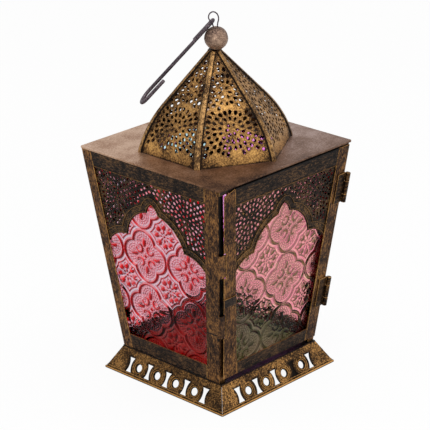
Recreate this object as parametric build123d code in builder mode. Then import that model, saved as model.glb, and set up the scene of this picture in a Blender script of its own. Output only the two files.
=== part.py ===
from build123d import *
import math
import os

os.makedirs("parts", exist_ok=True)

# A square candle lantern of cut sheet metal and pressed glass. The origin is the middle of
# the foot on the table, +Z is up, the glazed door is the -Y side, and sizes are millimetres.

# Body: four glazed sides that lean outwards towards the top
body_bottom_side = 116.0
body_top_side = 158.0
body_height = 181.0
frame_sheet = 1.0
front_post_leg = 16.5
back_post_leg = 10.5
door_jamb_leg = 7.0
strike_leg = 6.6
bottom_rail_height = 13.5
top_rail_height = 13.5
rail_end_gap = 0.3

# Foot: four pierced aprons under the floor plate
skirt_bottom_side = 140.0
skirt_height = 20.0
skirt_sheet = 1.1
skirt_flange = 8.0
skirt_seam = 0.5
hem_height = 2.4
hem_proud = 0.5
floor_sheet = 1.0
floor_lip = 0.6
baluster_count = 5
baluster_pitch = 22.0
baluster_height = 12.6
baluster_width = 7.0
baluster_waist = 3.4
baluster_middle = 10.2
roundel_diameter = 6.7
roundel_sides = 8

# Glazing: a pierced arch sheet with a pane of pressed glass behind it
fretwork_sheet = 0.8
glass_sheet = 3.0
pane_inset = 7.0
pane_end_gap = 1.5
relief_height = 1.0
relief_width = 2.4
medallion_pitch = 50.2
medallion_lobe = (22.4, 7.2)
medallion_notch = 12.2
front_medallion = (13.5, 74.8)
right_medallion = (12.0, 80.0)
back_medallion = (0.0, 90.0)
left_medallion = (31.1, 95.8)
arch_apex_drop = 33.7
arch_shoulder = (6.2, 42.4)
arch_cusp = (32.5, 69.2)
arch_spring_drop = 81.2
arch_ogee_rise = 1.2
arch_lobe_rise = 6.0
arch_foil_rise = 3.4
arch_border = 9.0
arch_hidden_margin = 0.6
spandrel_rosette = (40.0, 36.2)
spandrel_ring_pitch = 11.4
spandrel_ring_count = 2
spandrel_petal = (8.0, 4.8)
spandrel_margin = 4.0
clip_width = 8.0
clip_sheet = 0.8
clip_overlap = 4.0
clip_gap = 0.1
clip_heights = (30.0, 140.0)

# Door: a hinged frame on the -Y side
door_gap = 0.4
door_bottom = 4.0
door_top_gap = 2.2
door_hinge_gap = 0.5
door_free_gap_bottom = 2.5
door_free_gap_top = 6.0
door_free_stile_edge = 18.3
door_hinge_stile_edge = 13.5
door_bottom_rail_height = 11.0
door_top_rail_height = 14.8
door_pane_end_gap = 3.5
header_height = 4.8
door_pane_free_inset = 12.6
door_pane_hinge_inset = 8.5
door_corner_drop = 4.0
return_middles = (55.5, 112.7)
return_height = 21.0
return_sheet = 0.8
return_reach = 1.6
return_notch = 2.2
return_gap = 1.2
latch_height = 8.0
latch_length = 14.0
latch_middle = 77.5
latch_sheet = 0.8

# Hinges: rolled leaves on the front right corner
hinge_middles = (47.0, 142.0)
hinge_length = 26.0
hinge_leaf_width = 8.5
hinge_sheet = 0.8
hinge_pin_radius = 1.0
hinge_pin_clearance = 0.05
hinge_end_knuckle = 7.0
hinge_knuckle_gap = 0.6
hinge_barrel_sides = 8

# Candle cup on the floor plate
cup_outer_radius = 21.0
cup_height = 12.0
cup_sheet = 0.8
cup_sides = 24

# Top plate and the six-sided pierced dome
plate_sheet = 1.2
plate_overhang = 1.0
plate_corner_radius = 2.5
vent_corner_radius = 50.0
dome_sides = 6
dome_corner_radius = 66.0
dome_height = 79.8
dome_top_corner_radius = 5.2
dome_bend_apothem = 38.0
dome_bend_height = 39.0
dome_folds = 3
dome_sheet = 1.0
dome_seam = 0.12
rib_sheet = 0.8
rib_bottom_width = 6.6
rib_top_width = 2.8
dome_rosette_heights = (30.0, 62.0)
dome_ring_pitch = 10.8
dome_ring_counts = (3, 2)
dome_petal = (7.0, 4.5)
dome_plain_band = 10.0

# Finial: collar, ball, wire eye and hanging hook
collar_overlap = 1.0
finial_shift = 1.4
collar_sheet = 1.2
ball_radius = 9.8
ball_seat_radius = 3.0
ball_top_radius = 2.0
ball_bands = 6
eye_wire_radius = 0.55
eye_wire_sides = 5
eye_leg_spacing = 1.5
eye_bore_clearance = 0.15
eye_turn = -46.0
eye_rise = 1.0
eye_height = 12.2
eye_left = 6.2
eye_left_height = 6.0
eye_crown = 2.0
eye_right = 2.3
eye_right_height = 4.6
eye_tail_depth = 7.0
eye_bend_radius = 1.2
hook_wire_radius = 1.35
hook_wire_sides = 6
hook_strand_share = 0.55
hook_slope = 48.8
hook_lean = 7.0
hook_eye_bend = 2.2
hook_throat_bend = 9.0
hook_shank = 78.7
hook_eye_return = 22.0
hook_throat_return = 21.0

# Heights and slopes that follow from the sizes above
body_floor = skirt_height + floor_sheet
plate_bottom = body_floor + body_height
dome_floor = plate_bottom + plate_sheet
dome_top = dome_floor + dome_height
half_bottom = body_bottom_side / 2
half_top = body_top_side / 2
body_lean = half_top - half_bottom
face_length = math.hypot(body_height, body_lean)
lean_sin = body_lean / face_length
lean_cos = body_height / face_length
FRONT, RIGHT, BACK, LEFT = range(4)
side_names = ("front", "right", "back", "left")


def half_width(slope_height):
    """Half the width of a body side at a height measured up its slope."""
    return half_bottom + body_lean * slope_height / face_length


def turned(x, y, angle):
    """A plan point turned about the lantern's axis by an angle in degrees."""
    c = math.cos(math.radians(angle))
    s = math.sin(math.radians(angle))
    return (c * x - s * y, s * x + c * y)


def side_plane(side, depth=0.0):
    """Plane of a body side, x to the right seen from outside, y up the slope, z outwards."""
    origin = (*turned(0, -half_bottom, 90 * side), body_floor)
    along = (*turned(1, 0, 90 * side), 0)
    outward = (*turned(0, -lean_cos, 90 * side), -lean_sin)
    return Plane(origin=origin, x_dir=along, z_dir=outward).offset(-depth)


def slanted_strip(left_inset, right_inset, low, high):
    """Corners of a strip that follows both slanted corners of a body side."""
    return [
        (-half_width(low) + left_inset, low),
        (half_width(low) - right_inset, low),
        (half_width(high) - right_inset, high),
        (-half_width(high) + left_inset, high),
    ]


def left_strip(near_low, near_high, far, low, high):
    """Corners of an upright strip measured from the left slanted corner."""
    return [
        (-half_width(low) + near_low, low),
        (-half_width(low) + far, low),
        (-half_width(high) + far, high),
        (-half_width(high) + near_high, high),
    ]


def right_strip(near, far, low, high):
    """Corners of an upright strip measured from the right slanted corner."""
    return [(-x, y) for x, y in left_strip(near, near, far, low, high)]


def flat_sheet(plane, outline, thickness):
    """A sheet cut to an outline; a positive thickness stands out of the plane."""
    with BuildPart() as piece:
        with BuildSketch(plane):
            with BuildLine():
                Polyline(*outline, close=True)
            make_face()
        extrude(amount=thickness)
    return piece


def keep(part, name):
    """Label one finished piece and write its file."""
    part.label = name
    export_step(part, f"parts/{name}.step")


# Foot: one apron is bent with a top flange, mitred at its ends and pierced
skirt_half = skirt_bottom_side / 2
skirt_top_half = half_bottom + floor_lip
apron_run = skirt_half - skirt_top_half
apron_slope = apron_run / skirt_height
flange_bottom = skirt_height - skirt_sheet
hem_half = skirt_half + hem_proud
apron_plane = Plane(
    origin=(0, -skirt_half, 0),
    x_dir=(1, 0, 0),
    z_dir=(0, -skirt_height, apron_run),
)
flank_hollow = (baluster_width - baluster_waist) / 2
baluster_flank = [
    (baluster_width / 2, baluster_height / 2),
    (baluster_waist / 2 + flank_hollow / 9, baluster_height / 6),
]
baluster_right = baluster_flank + [(x, -y) for x, y in reversed(baluster_flank)]
with BuildSketch() as baluster:
    with BuildLine():
        Polyline(*baluster_right, *[(-x, -y) for x, y in baluster_right], close=True)
    make_face()
with BuildPart() as skirt:
    with BuildSketch(Plane.YZ):
        with BuildLine():
            Polyline(
                (-hem_half, 0),
                (-hem_half + hem_height * apron_slope, hem_height),
                (-skirt_half + hem_height * apron_slope, hem_height),
                (-skirt_top_half, skirt_height),
                (-skirt_top_half + skirt_flange, skirt_height),
                (-skirt_top_half + skirt_flange, flange_bottom),
                (-skirt_half + skirt_sheet + flange_bottom * apron_slope, flange_bottom),
                (-skirt_half + skirt_sheet, 0),
                close=True,
            )
        make_face()
    extrude(amount=hem_half, both=True)
    with BuildSketch(Plane.XY):
        with BuildLine():
            Polyline(
                (0, -skirt_seam),
                (hem_half, -hem_half - skirt_seam),
                (-hem_half, -hem_half - skirt_seam),
                close=True,
            )
        make_face()
    extrude(amount=skirt_height, mode=Mode.INTERSECT)
    with BuildSketch(apron_plane):
        with Locations((0, baluster_middle)):
            with GridLocations(baluster_pitch, 0, baluster_count, 1):
                add(baluster.sketch)
            with GridLocations(baluster_pitch, 0, baluster_count - 1, 1):
                RegularPolygon(roundel_diameter / 2, roundel_sides)
    extrude(amount=3 * skirt_sheet, both=True, mode=Mode.SUBTRACT)
for side, side_name in enumerate(side_names):
    keep(skirt.part.rotate(Axis.Z, 90 * side), f"skirt_{side_name}")

# Floor plate, with the candle cup soldered to its middle
floor_side = body_bottom_side + 2 * floor_lip
with BuildPart() as floor_plate:
    with BuildSketch(Plane.XY.offset(skirt_height)):
        Rectangle(floor_side, floor_side)
    extrude(amount=floor_sheet)
keep(floor_plate.part, "floor_plate")

with BuildPart() as candle_cup:
    with BuildSketch(Plane.XY.offset(body_floor)):
        RegularPolygon(cup_outer_radius, cup_sides)
    extrude(amount=cup_height)
    with BuildSketch(Plane.XY.offset(body_floor + cup_sheet)):
        RegularPolygon(cup_outer_radius - cup_sheet, cup_sides)
    extrude(amount=cup_height, mode=Mode.SUBTRACT)
keep(candle_cup.part, "candle_cup")

# Corner posts: bent angles that run up the slanted corners
door_rebate = frame_sheet + door_gap
strike_setback = (door_rebate + frame_sheet) / lean_cos
door_top = face_length - door_top_gap
corner_length = math.sqrt(body_height**2 + 2 * body_lean**2)


def corner_post(end_x, end_y, across_leg, along_leg, setback=0.0):
    """One angle: a leg along X on the front or back, a leg along Y on the left or right."""
    corner_x = end_x * half_bottom
    corner_y = end_y * (half_bottom - setback)
    with BuildSketch(Plane.XY.offset(body_floor)) as section:
        with BuildLine():
            Polyline(
                (corner_x, corner_y),
                (corner_x - end_x * across_leg, corner_y),
                (corner_x - end_x * across_leg, corner_y - end_y * frame_sheet),
                (corner_x - end_x * frame_sheet, corner_y - end_y * frame_sheet),
                (corner_x - end_x * frame_sheet, corner_y - end_y * (along_leg - setback)),
                (corner_x, corner_y - end_y * (along_leg - setback)),
                close=True,
            )
        make_face()
    rise = (end_x * body_lean, end_y * body_lean, body_height)
    extrude(section.sketch, amount=corner_length, dir=rise)


def free_gap(slope_height):
    """Distance of the door's free edge from the front left corner."""
    share = (slope_height - door_bottom) / (door_top - door_bottom)
    return door_free_gap_bottom + share * (door_free_gap_top - door_free_gap_bottom)


# The strike post is set back along the door, but for two returns that wrap round the corner
with BuildPart() as post_front_left:
    corner_post(-1, -1, strike_leg, front_post_leg, setback=strike_setback)
    for return_middle in return_middles:
        low = return_middle - return_height / 2
        high = return_middle + return_height / 2
        with BuildSketch(side_plane(LEFT)):
            with BuildLine():
                Polyline(*right_strip(0, front_post_leg / 2, low, high), close=True)
            make_face()
        extrude(amount=-return_sheet)
        with BuildSketch(side_plane(FRONT)):
            with BuildLine():
                far = free_gap(return_middle) + return_reach
                Polyline(*left_strip(0, 0, far, low, high), close=True)
            make_face()
        extrude(amount=-return_sheet)
keep(post_front_left.part, "post_front_left")

with BuildPart() as post_front_right:
    corner_post(1, -1, door_jamb_leg, front_post_leg, setback=door_rebate)
keep(post_front_right.part, "post_front_right")

with BuildPart() as post_back_right:
    corner_post(1, 1, back_post_leg, back_post_leg)
keep(post_back_right.part, "post_back_right")

with BuildPart() as post_back_left:
    corner_post(-1, 1, back_post_leg, back_post_leg)
keep(post_back_left.part, "post_back_left")

# Rails of the three fixed sides, butted between the posts
post_legs = {
    RIGHT: (front_post_leg, back_post_leg),
    BACK: (back_post_leg, back_post_leg),
    LEFT: (back_post_leg, front_post_leg),
}
rail_top = face_length - rail_end_gap
for side, (left_leg, right_leg) in post_legs.items():
    bottom_rail = flat_sheet(
        side_plane(side),
        slanted_strip(left_leg, right_leg, rail_end_gap, bottom_rail_height),
        -frame_sheet,
    )
    keep(bottom_rail.part, f"bottom_rail_{side_names[side]}")
    top_rail = flat_sheet(
        side_plane(side),
        slanted_strip(left_leg, right_leg, face_length - top_rail_height, rail_top),
        -frame_sheet,
    )
    keep(top_rail.part, f"top_rail_{side_names[side]}")

# Header: ties the front posts under the plate and stops the head of the door
front_header = flat_sheet(
    side_plane(FRONT, door_rebate),
    slanted_strip(frame_sheet, door_jamb_leg, face_length - header_height, rail_top),
    -frame_sheet,
)
keep(front_header.part, "front_header")

# Pierced arch sheets: a pointed cusped arch under rosettes of petals
arch_spring_height = face_length - arch_spring_drop
arch_knots = [
    (0.0, face_length - arch_apex_drop),
    (arch_shoulder[0], face_length - arch_shoulder[1]),
    (arch_cusp[0], face_length - arch_cusp[1]),
]


def arch_line(middle, spring_half, low, low_half):
    """Closed outline of the arched opening, hidden margins at the sides and foot included."""
    for end in (1, -1):
        apex, shoulder, cusp = [(middle + end * x, y) for x, y in arch_knots]
        spring = (middle + end * spring_half, arch_spring_height)
        SagittaArc(apex, shoulder, end * arch_ogee_rise)
        SagittaArc(shoulder, cusp, end * arch_lobe_rise)
        SagittaArc(cusp, spring, end * arch_foil_rise)
        hidden = (middle + end * (spring_half + arch_hidden_margin), arch_spring_height)
        foot = (middle + end * low_half, low)
        Line(spring, hidden)
        Line(hidden, foot)
    Line((middle - low_half, low), (middle + low_half, low))


def arch_rise(distance, spring_half):
    """Height of the arched opening at a distance from its middle, knot to knot."""
    knots = arch_knots + [(spring_half, arch_spring_height)]
    for (near, near_height), (far, far_height) in zip(knots, knots[1:]):
        if distance <= far:
            share = (distance - near) / (far - near)
            return near_height + share * (far_height - near_height)
    return arch_spring_height


def petal_places(middles, pitch, ring_counts, fits):
    """Places of rosette petals, in rings about some middles, where a petal fits."""
    places = []
    taken = []
    for (x0, y0), rings in zip(middles, ring_counts):
        for ring in range(1, rings + 1):
            for step in range(6 * ring):
                angle = 360 * (step + 0.5 * (ring % 2)) / (6 * ring)
                x = x0 + ring * pitch * math.cos(math.radians(angle))
                y = y0 + ring * pitch * math.sin(math.radians(angle))
                clear = all(math.hypot(x - a, y - b) > 0.8 * pitch for a, b in taken)
                if clear and fits(x, y):
                    places.append(Location((x, y, 0), (0, 0, angle)))
        taken += [tuple(place.position)[:2] for place in places]
    return places


def petal(size):
    """A petal-shaped hole, longer along its own radius and blunt at the outer end."""
    length, width = size
    Polygon(
        (-length / 2, 0),
        (length / 6, -width / 2),
        (length / 2, 0),
        (length / 6, width / 2),
        align=None,
    )


def fretwork(side, left_inset, right_inset, left_edge, right_edge, low_edge, low, high, top_edge):
    """A pierced arch sheet: insets place the sheet, edges are those of the frame before it."""
    middle = (left_edge - right_edge) / 2
    edge_mean = (left_edge + right_edge) / 2
    spring_half = half_width(arch_spring_height) - edge_mean
    low_half = half_width(low_edge) - edge_mean + arch_hidden_margin

    def petal_fits(x, y):
        room = half_width(y) - edge_mean - spandrel_margin
        distance = abs(x - middle)
        floor = arch_rise(distance, spring_half) + arch_border
        return distance < room and floor < y < top_edge - spandrel_margin

    rosette_height = face_length - spandrel_rosette[1]
    middles = [(middle + end * spandrel_rosette[0], rosette_height) for end in (-1, 1)]
    with BuildPart() as sheet:
        with BuildSketch(side_plane(side, frame_sheet)):
            with BuildLine():
                Polyline(*slanted_strip(left_inset, right_inset, low, high), close=True)
            make_face()
        extrude(amount=-fretwork_sheet)
        with BuildSketch(side_plane(side, frame_sheet)):
            with BuildLine():
                arch_line(middle, spring_half, low_edge, low_half)
            make_face()
            places = petal_places(
                middles, spandrel_ring_pitch, (spandrel_ring_count,) * 2, petal_fits
            )
            with Locations(*places):
                petal(spandrel_petal)
        extrude(amount=2 * fretwork_sheet, both=True, mode=Mode.SUBTRACT)
    return sheet


# Panes: pressed glass whose outer face carries a lattice of quatrefoil medallions
glass_depth = frame_sheet + fretwork_sheet


def quatrefoil(growth):
    """Corners of a medallion's outline moved outwards by a growth."""
    reach = medallion_lobe[0] + growth
    half = medallion_lobe[1] + growth / 2
    notch = medallion_notch + growth * math.sqrt(0.5)
    quarter = [(reach, -half), (reach, half), (notch, notch)]
    return [turned(x, y, 90 * quadrant) for quadrant in range(4) for x, y in quarter]


def pressed_pane(side, left_inset, right_inset, low, high):
    """A pane of which only the medallions' ridges reach its full thickness."""
    outline = slanted_strip(left_inset, right_inset, low, high)
    origin_x, origin_y = (front_medallion, right_medallion, back_medallion, left_medallion)[side]
    reach = math.ceil(face_length / medallion_pitch)
    steps = range(-reach, reach + 1)
    places = []
    for column in steps:
        for row in steps:
            x = origin_x + column * medallion_pitch
            y = origin_y + row * medallion_pitch
            if low < y < high - medallion_pitch / 2 and abs(x) < half_width(y) - left_inset:
                places.append((x, y))
    flats = side_plane(side, glass_depth + relief_height)
    with BuildPart() as pane:
        with BuildSketch(flats):
            with BuildLine():
                Polyline(*outline, close=True)
            make_face()
        extrude(amount=relief_height - glass_sheet)
        with BuildSketch(flats):
            with Locations(*places):
                Polygon(*quatrefoil(relief_width / 2), align=None)
                Polygon(*quatrefoil(-relief_width / 2), align=None, mode=Mode.SUBTRACT)
            with BuildLine():
                Polyline(*outline, close=True)
            make_face(mode=Mode.INTERSECT)
        extrude(amount=relief_height)
    return pane


pane_top = face_length - pane_end_gap
for side, (left_leg, right_leg) in post_legs.items():
    arch_sheet = fretwork(
        side,
        pane_inset,
        pane_inset,
        left_leg,
        right_leg,
        bottom_rail_height - arch_hidden_margin,
        pane_end_gap,
        pane_top,
        face_length - top_rail_height,
    )
    keep(arch_sheet.part, f"fretwork_{side_names[side]}")
    pane = pressed_pane(side, pane_inset, pane_inset, pane_end_gap, pane_top)
    keep(pane.part, f"pane_{side_names[side]}")


# Clips: bent tabs behind the stiles that hold a pane by its upright edges
def pane_clips(sides, left_inset, right_inset):
    """Separate clips at both upright edges of the panes of some sides."""
    clip_depth = glass_depth + glass_sheet
    with BuildPart() as clips:
        for side in sides:
            for middle in clip_heights:
                low = middle - clip_width / 2
                high = middle + clip_width / 2
                for strip, inset in ((left_strip, left_inset), (right_strip, right_inset)):
                    outer = inset - clip_gap - clip_sheet
                    ends = (outer, outer) if strip is left_strip else (outer,)
                    with BuildSketch(side_plane(side, frame_sheet)):
                        with BuildLine():
                            Polyline(*strip(*ends, outer + clip_sheet, low, high), close=True)
                        make_face()
                    extrude(amount=frame_sheet - clip_depth - clip_sheet)
                    with BuildSketch(side_plane(side, clip_depth)):
                        with BuildLine():
                            Polyline(*strip(*ends, inset + clip_overlap, low, high), close=True)
                        make_face()
                    extrude(amount=-clip_sheet)
    return clips


keep(pane_clips((RIGHT, BACK, LEFT), pane_inset, pane_inset).part, "pane_clips")

# Door: two stiles, two rails between them, its own arch sheet, pane and clips
free_corner = door_top - door_corner_drop
with BuildPart() as door_free_stile:
    with BuildSketch(side_plane(FRONT)):
        with BuildLine():
            Polyline(
                (-half_width(door_bottom) + door_free_gap_bottom, door_bottom),
                (-half_width(door_bottom) + door_free_stile_edge, door_bottom),
                (-half_width(door_top) + door_free_stile_edge, door_top),
                (-half_width(free_corner) + free_gap(free_corner), free_corner),
                close=True,
            )
        make_face()
        for return_middle in return_middles:
            low = return_middle - return_height / 2 - return_gap
            high = return_middle + return_height / 2 + return_gap
            with BuildLine():
                far = free_gap(return_middle) + return_notch
                Polyline(*left_strip(0, 0, far, low, high), close=True)
            make_face(mode=Mode.SUBTRACT)
    extrude(amount=-frame_sheet)
keep(door_free_stile.part, "door_free_stile")

with BuildPart() as door_hinge_stile:
    with BuildSketch(side_plane(FRONT)):
        with BuildLine():
            Polyline(
                *right_strip(door_hinge_gap, door_hinge_stile_edge, door_bottom, door_top),
                close=True,
            )
        make_face()
    extrude(amount=-frame_sheet)
keep(door_hinge_stile.part, "door_hinge_stile")

door_rail_low = door_bottom + door_bottom_rail_height
door_rail_high = door_top - door_top_rail_height
door_bottom_rail = flat_sheet(
    side_plane(FRONT),
    slanted_strip(door_free_stile_edge, door_hinge_stile_edge, door_bottom, door_rail_low),
    -frame_sheet,
)
keep(door_bottom_rail.part, "door_bottom_rail")
door_top_rail = flat_sheet(
    side_plane(FRONT),
    slanted_strip(door_free_stile_edge, door_hinge_stile_edge, door_rail_high, door_top),
    -frame_sheet,
)
keep(door_top_rail.part, "door_top_rail")

door_pane_low = door_bottom + door_pane_end_gap
door_pane_high = door_top - door_pane_end_gap
door_fretwork = fretwork(
    FRONT,
    door_pane_free_inset,
    door_pane_hinge_inset,
    door_free_stile_edge,
    door_hinge_stile_edge,
    door_rail_low - arch_hidden_margin,
    door_pane_low,
    door_pane_high,
    door_rail_high,
)
keep(door_fretwork.part, "door_fretwork")
door_pane = pressed_pane(
    FRONT, door_pane_free_inset, door_pane_hinge_inset, door_pane_low, door_pane_high
)
keep(door_pane.part, "door_pane")
keep(pane_clips((FRONT,), door_pane_free_inset, door_pane_hinge_inset).part, "door_pane_clips")

# Latch: a bent spring strap on the free stile whose lip turns in through the door gap
latch_low = latch_middle - latch_height / 2
latch_high = latch_middle + latch_height / 2
with BuildPart() as door_latch:
    with BuildSketch(side_plane(FRONT)):
        with BuildLine():
            Polyline(
                *left_strip(
                    free_gap(latch_low) - latch_sheet,
                    free_gap(latch_high) - latch_sheet,
                    free_gap(latch_middle) + latch_length,
                    latch_low,
                    latch_high,
                ),
                close=True,
            )
        make_face()
    extrude(amount=latch_sheet)
    with BuildSketch(side_plane(FRONT)):
        with BuildLine():
            Polyline(
                (-half_width(latch_low) + free_gap(latch_low) - latch_sheet, latch_low),
                (-half_width(latch_low) + free_gap(latch_low), latch_low),
                (-half_width(latch_high) + free_gap(latch_high), latch_high),
                (-half_width(latch_high) + free_gap(latch_high) - latch_sheet, latch_high),
                close=True,
            )
        make_face()
    extrude(amount=-frame_sheet)
keep(door_latch.part, "door_latch")

# Hinges: rolled leaves whose pin runs along the front right corner, outside both faces
barrel_radius = hinge_pin_radius + hinge_pin_clearance + hinge_sheet
edge_direction = Vector(body_lean, -body_lean, body_height).normalized()
front_normal = Vector(0, -lean_cos, -lean_sin)
right_normal = Vector(lean_cos, 0, -lean_sin)
corner_foot = Vector(half_bottom, -half_bottom, body_floor)
barrel_offset = (front_normal + right_normal) * (barrel_radius / (1 + lean_sin**2))
edge_scale = corner_length / face_length
strip_end = -barrel_radius / 2
strip_inset = hinge_knuckle_gap / 2


def hinge_plane(slope_height, leaf_normal):
    """Plane square to the hinge line at a height up the slope, its x along a leaf."""
    origin = corner_foot + edge_direction * (slope_height * edge_scale) + barrel_offset
    return Plane(origin=origin, x_dir=leaf_normal.cross(edge_direction), z_dir=edge_direction)


def knuckle(low, high, leaf_normal):
    """A barrel about the hinge line with one flat in its leaf's plane."""
    with BuildSketch(hinge_plane(low, leaf_normal)) as ring:
        RegularPolygon(
            barrel_radius,
            hinge_barrel_sides,
            major_radius=False,
            rotation=180 / hinge_barrel_sides,
        )
    extrude(ring.sketch, amount=(high - low) * edge_scale)


for hinge_middle, hinge_name in zip(hinge_middles, ("lower", "upper")):
    hinge_low = hinge_middle - hinge_length / 2
    hinge_high = hinge_middle + hinge_length / 2
    door_low = hinge_low + hinge_end_knuckle + hinge_knuckle_gap
    door_high = hinge_high - hinge_end_knuckle - hinge_knuckle_gap
    leaf_far = door_hinge_gap + hinge_leaf_width
    with BuildPart() as door_leaf:
        with BuildSketch(side_plane(FRONT)):
            with BuildLine():
                Polyline(*right_strip(door_hinge_gap, leaf_far, hinge_low, hinge_high), close=True)
            make_face()
            with BuildLine():
                Polyline(
                    *right_strip(strip_end, leaf_far, door_low + strip_inset, door_high - strip_inset),
                    close=True,
                )
            make_face()
        extrude(amount=hinge_sheet)
        knuckle(door_low, door_high, front_normal)
        with BuildSketch(hinge_plane(hinge_low, front_normal)):
            Circle(hinge_pin_radius + hinge_pin_clearance)
        extrude(amount=hinge_length * edge_scale, mode=Mode.SUBTRACT)
    keep(door_leaf.part, f"{hinge_name}_hinge_door_leaf")
    post_edge = door_rebate + hinge_knuckle_gap
    post_far = post_edge + hinge_leaf_width
    with BuildPart() as post_leaf:
        with BuildSketch(side_plane(RIGHT)):
            with BuildLine():
                Polyline(*left_strip(post_edge, post_edge, post_far, hinge_low, hinge_high), close=True)
            make_face()
            for low, high in (
                (hinge_low, hinge_low + hinge_end_knuckle),
                (hinge_high - hinge_end_knuckle, hinge_high),
            ):
                with BuildLine():
                    Polyline(
                        *left_strip(
                            strip_end, strip_end, post_far, low + strip_inset, high - strip_inset
                        ),
                        close=True,
                    )
                make_face()
        extrude(amount=hinge_sheet)
        knuckle(hinge_low, hinge_low + hinge_end_knuckle, right_normal)
        knuckle(hinge_high - hinge_end_knuckle, hinge_high, right_normal)
        with BuildSketch(hinge_plane(hinge_low, right_normal)):
            Circle(hinge_pin_radius + hinge_pin_clearance)
        extrude(amount=hinge_length * edge_scale, mode=Mode.SUBTRACT)
    keep(post_leaf.part, f"{hinge_name}_hinge_post_leaf")
    with BuildPart() as pin:
        with BuildSketch(hinge_plane(hinge_low, front_normal)):
            Circle(hinge_pin_radius)
        extrude(amount=hinge_length * edge_scale)
    keep(pin.part, f"{hinge_name}_hinge_pin")

# Top plate, open under the dome so that heat and light pass
plate_side = body_top_side + 2 * plate_overhang
with BuildPart() as top_plate:
    with BuildSketch(Plane.XY.offset(plate_bottom)):
        RectangleRounded(plate_side, plate_side, plate_corner_radius)
        RegularPolygon(
            vent_corner_radius, dome_sides, rotation=180 / dome_sides, mode=Mode.SUBTRACT
        )
    extrude(amount=plate_sheet)
keep(top_plate.part, "top_plate")

# Dome: six gores folded about level lines, straight above and rounder towards the foot
half_gore = math.radians(180 / dome_sides)
dome_foot_apothem = dome_corner_radius * math.cos(half_gore)
dome_top_apothem = dome_top_corner_radius * math.cos(half_gore)
bend_height = dome_floor + dome_bend_height
lower_run = dome_foot_apothem - dome_bend_apothem
upper_slope = math.atan2(dome_top - bend_height, dome_bend_apothem - dome_top_apothem)
lower_slope = math.atan2(dome_bend_height, lower_run)
fold_angle = 2 * (lower_slope - upper_slope) / dome_folds
lower_chord = math.hypot(lower_run, dome_bend_height)
flat_length = lower_chord * math.sin(fold_angle / 2) / math.sin(dome_folds * fold_angle / 2)

# Knots of a gore's middle line, top to foot, as distance from the axis and height
gore_knots = [(dome_top_apothem, dome_top), (dome_bend_apothem, bend_height)]
for fold in range(dome_folds - 1):
    flat_slope = upper_slope + (fold + 0.5) * fold_angle
    knot_apothem, knot_height = gore_knots[-1]
    gore_knots.append(
        (
            knot_apothem + flat_length * math.cos(flat_slope),
            knot_height - flat_length * math.sin(flat_slope),
        )
    )
gore_knots.append((dome_foot_apothem, dome_floor))


def dome_band(inner, outer):
    """Section of the gores between two level shifts of their middle line."""
    Polyline(
        *[(apothem + inner, height) for apothem, height in gore_knots],
        *[(apothem + outer, height) for apothem, height in reversed(gore_knots)],
        close=True,
    )


def gore_flats():
    """Planes of a gore's flats from the foot up, with the climb at each flat's ends."""
    flats = []
    low_climb = 0.0
    for (low_apothem, low_height), (apothem, height) in zip(gore_knots[::-1], gore_knots[-2::-1]):
        run = low_apothem - apothem
        rise = height - low_height
        plane = Plane(
            origin=(low_apothem, 0, low_height), x_dir=(0, 1, 0), z_dir=(rise, 0, run)
        )
        high_climb = low_climb + math.hypot(run, rise)
        flats.append((plane, low_climb, high_climb, low_apothem, apothem))
        low_climb = high_climb
    return flats


def gore_fits(x, climb):
    """Whether a petal at a climb up the gore keeps clear of the ribs and of the plain foot."""
    for plane, low_climb, high_climb, low_apothem, apothem in gore_flats():
        if low_climb <= climb < high_climb:
            share = (climb - low_climb) / (high_climb - low_climb)
            half_room = (low_apothem + share * (apothem - low_apothem)) * math.tan(half_gore)
            side_room = half_room - rib_bottom_width / 2 - dome_petal[1] / 2
            return abs(x) < side_room and climb > dome_plain_band
    return False


gore_middles = [(0, height) for height in dome_rosette_heights]
gore_places = petal_places(gore_middles, dome_ring_pitch, dome_ring_counts, gore_fits)
with BuildPart() as dome_panel:
    with BuildSketch(Plane.XZ):
        with BuildLine():
            dome_band(-dome_sheet, 0)
        make_face()
    extrude(amount=dome_corner_radius, both=True)
    with BuildSketch(Plane.XY.offset(dome_floor)):
        reach = 2 * dome_corner_radius
        with BuildLine():
            Polyline(
                (dome_seam, 0),
                (reach + dome_seam, reach * math.tan(half_gore)),
                (reach + dome_seam, -reach * math.tan(half_gore)),
                close=True,
            )
        make_face()
    extrude(amount=dome_height, mode=Mode.INTERSECT)
    for plane, low_climb, high_climb, low_apothem, apothem in gore_flats():
        flat_places = [
            Location((0, -low_climb, 0)) * place
            for place in gore_places
            if low_climb <= place.position.Y < high_climb
        ]
        with BuildSketch(plane):
            with Locations(*flat_places):
                petal(dome_petal)
        extrude(amount=2 * dome_sheet, both=True, mode=Mode.SUBTRACT)
gore_angle = 360 / dome_sides
for number in range(dome_sides):
    keep(dome_panel.part.rotate(Axis.Z, gore_angle * number), f"dome_panel_{number + 1}")

# Ribs: strips folded over the corners of the dome, narrower towards the top
corner_cos = math.cos(half_gore)
corner_sin = math.sin(half_gore)
rib_foot = dome_corner_radius + 4 * rib_sheet
with BuildPart() as dome_rib:
    with BuildSketch(Plane.XZ):
        with BuildLine():
            dome_band(0, rib_sheet)
        make_face()
    extrude(amount=dome_corner_radius, both=True)
    with BuildSketch(Plane.XY.offset(dome_floor)):
        with BuildLine():
            Polyline(
                (0, 0),
                (rib_foot * corner_cos, rib_foot * corner_sin),
                (
                    rib_foot * corner_cos + rib_bottom_width / 2 * corner_sin,
                    rib_foot * corner_sin - rib_bottom_width / 2 * corner_cos,
                ),
                (rib_top_width / 2 * corner_sin, -rib_top_width / 2 * corner_cos),
                close=True,
            )
        make_face()
    extrude(amount=dome_height, mode=Mode.INTERSECT)
    corner_plane = Plane(
        origin=(0, 0, 0), x_dir=(corner_cos, corner_sin, 0), z_dir=(-corner_sin, corner_cos, 0)
    )
    mirror(about=corner_plane)
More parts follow.
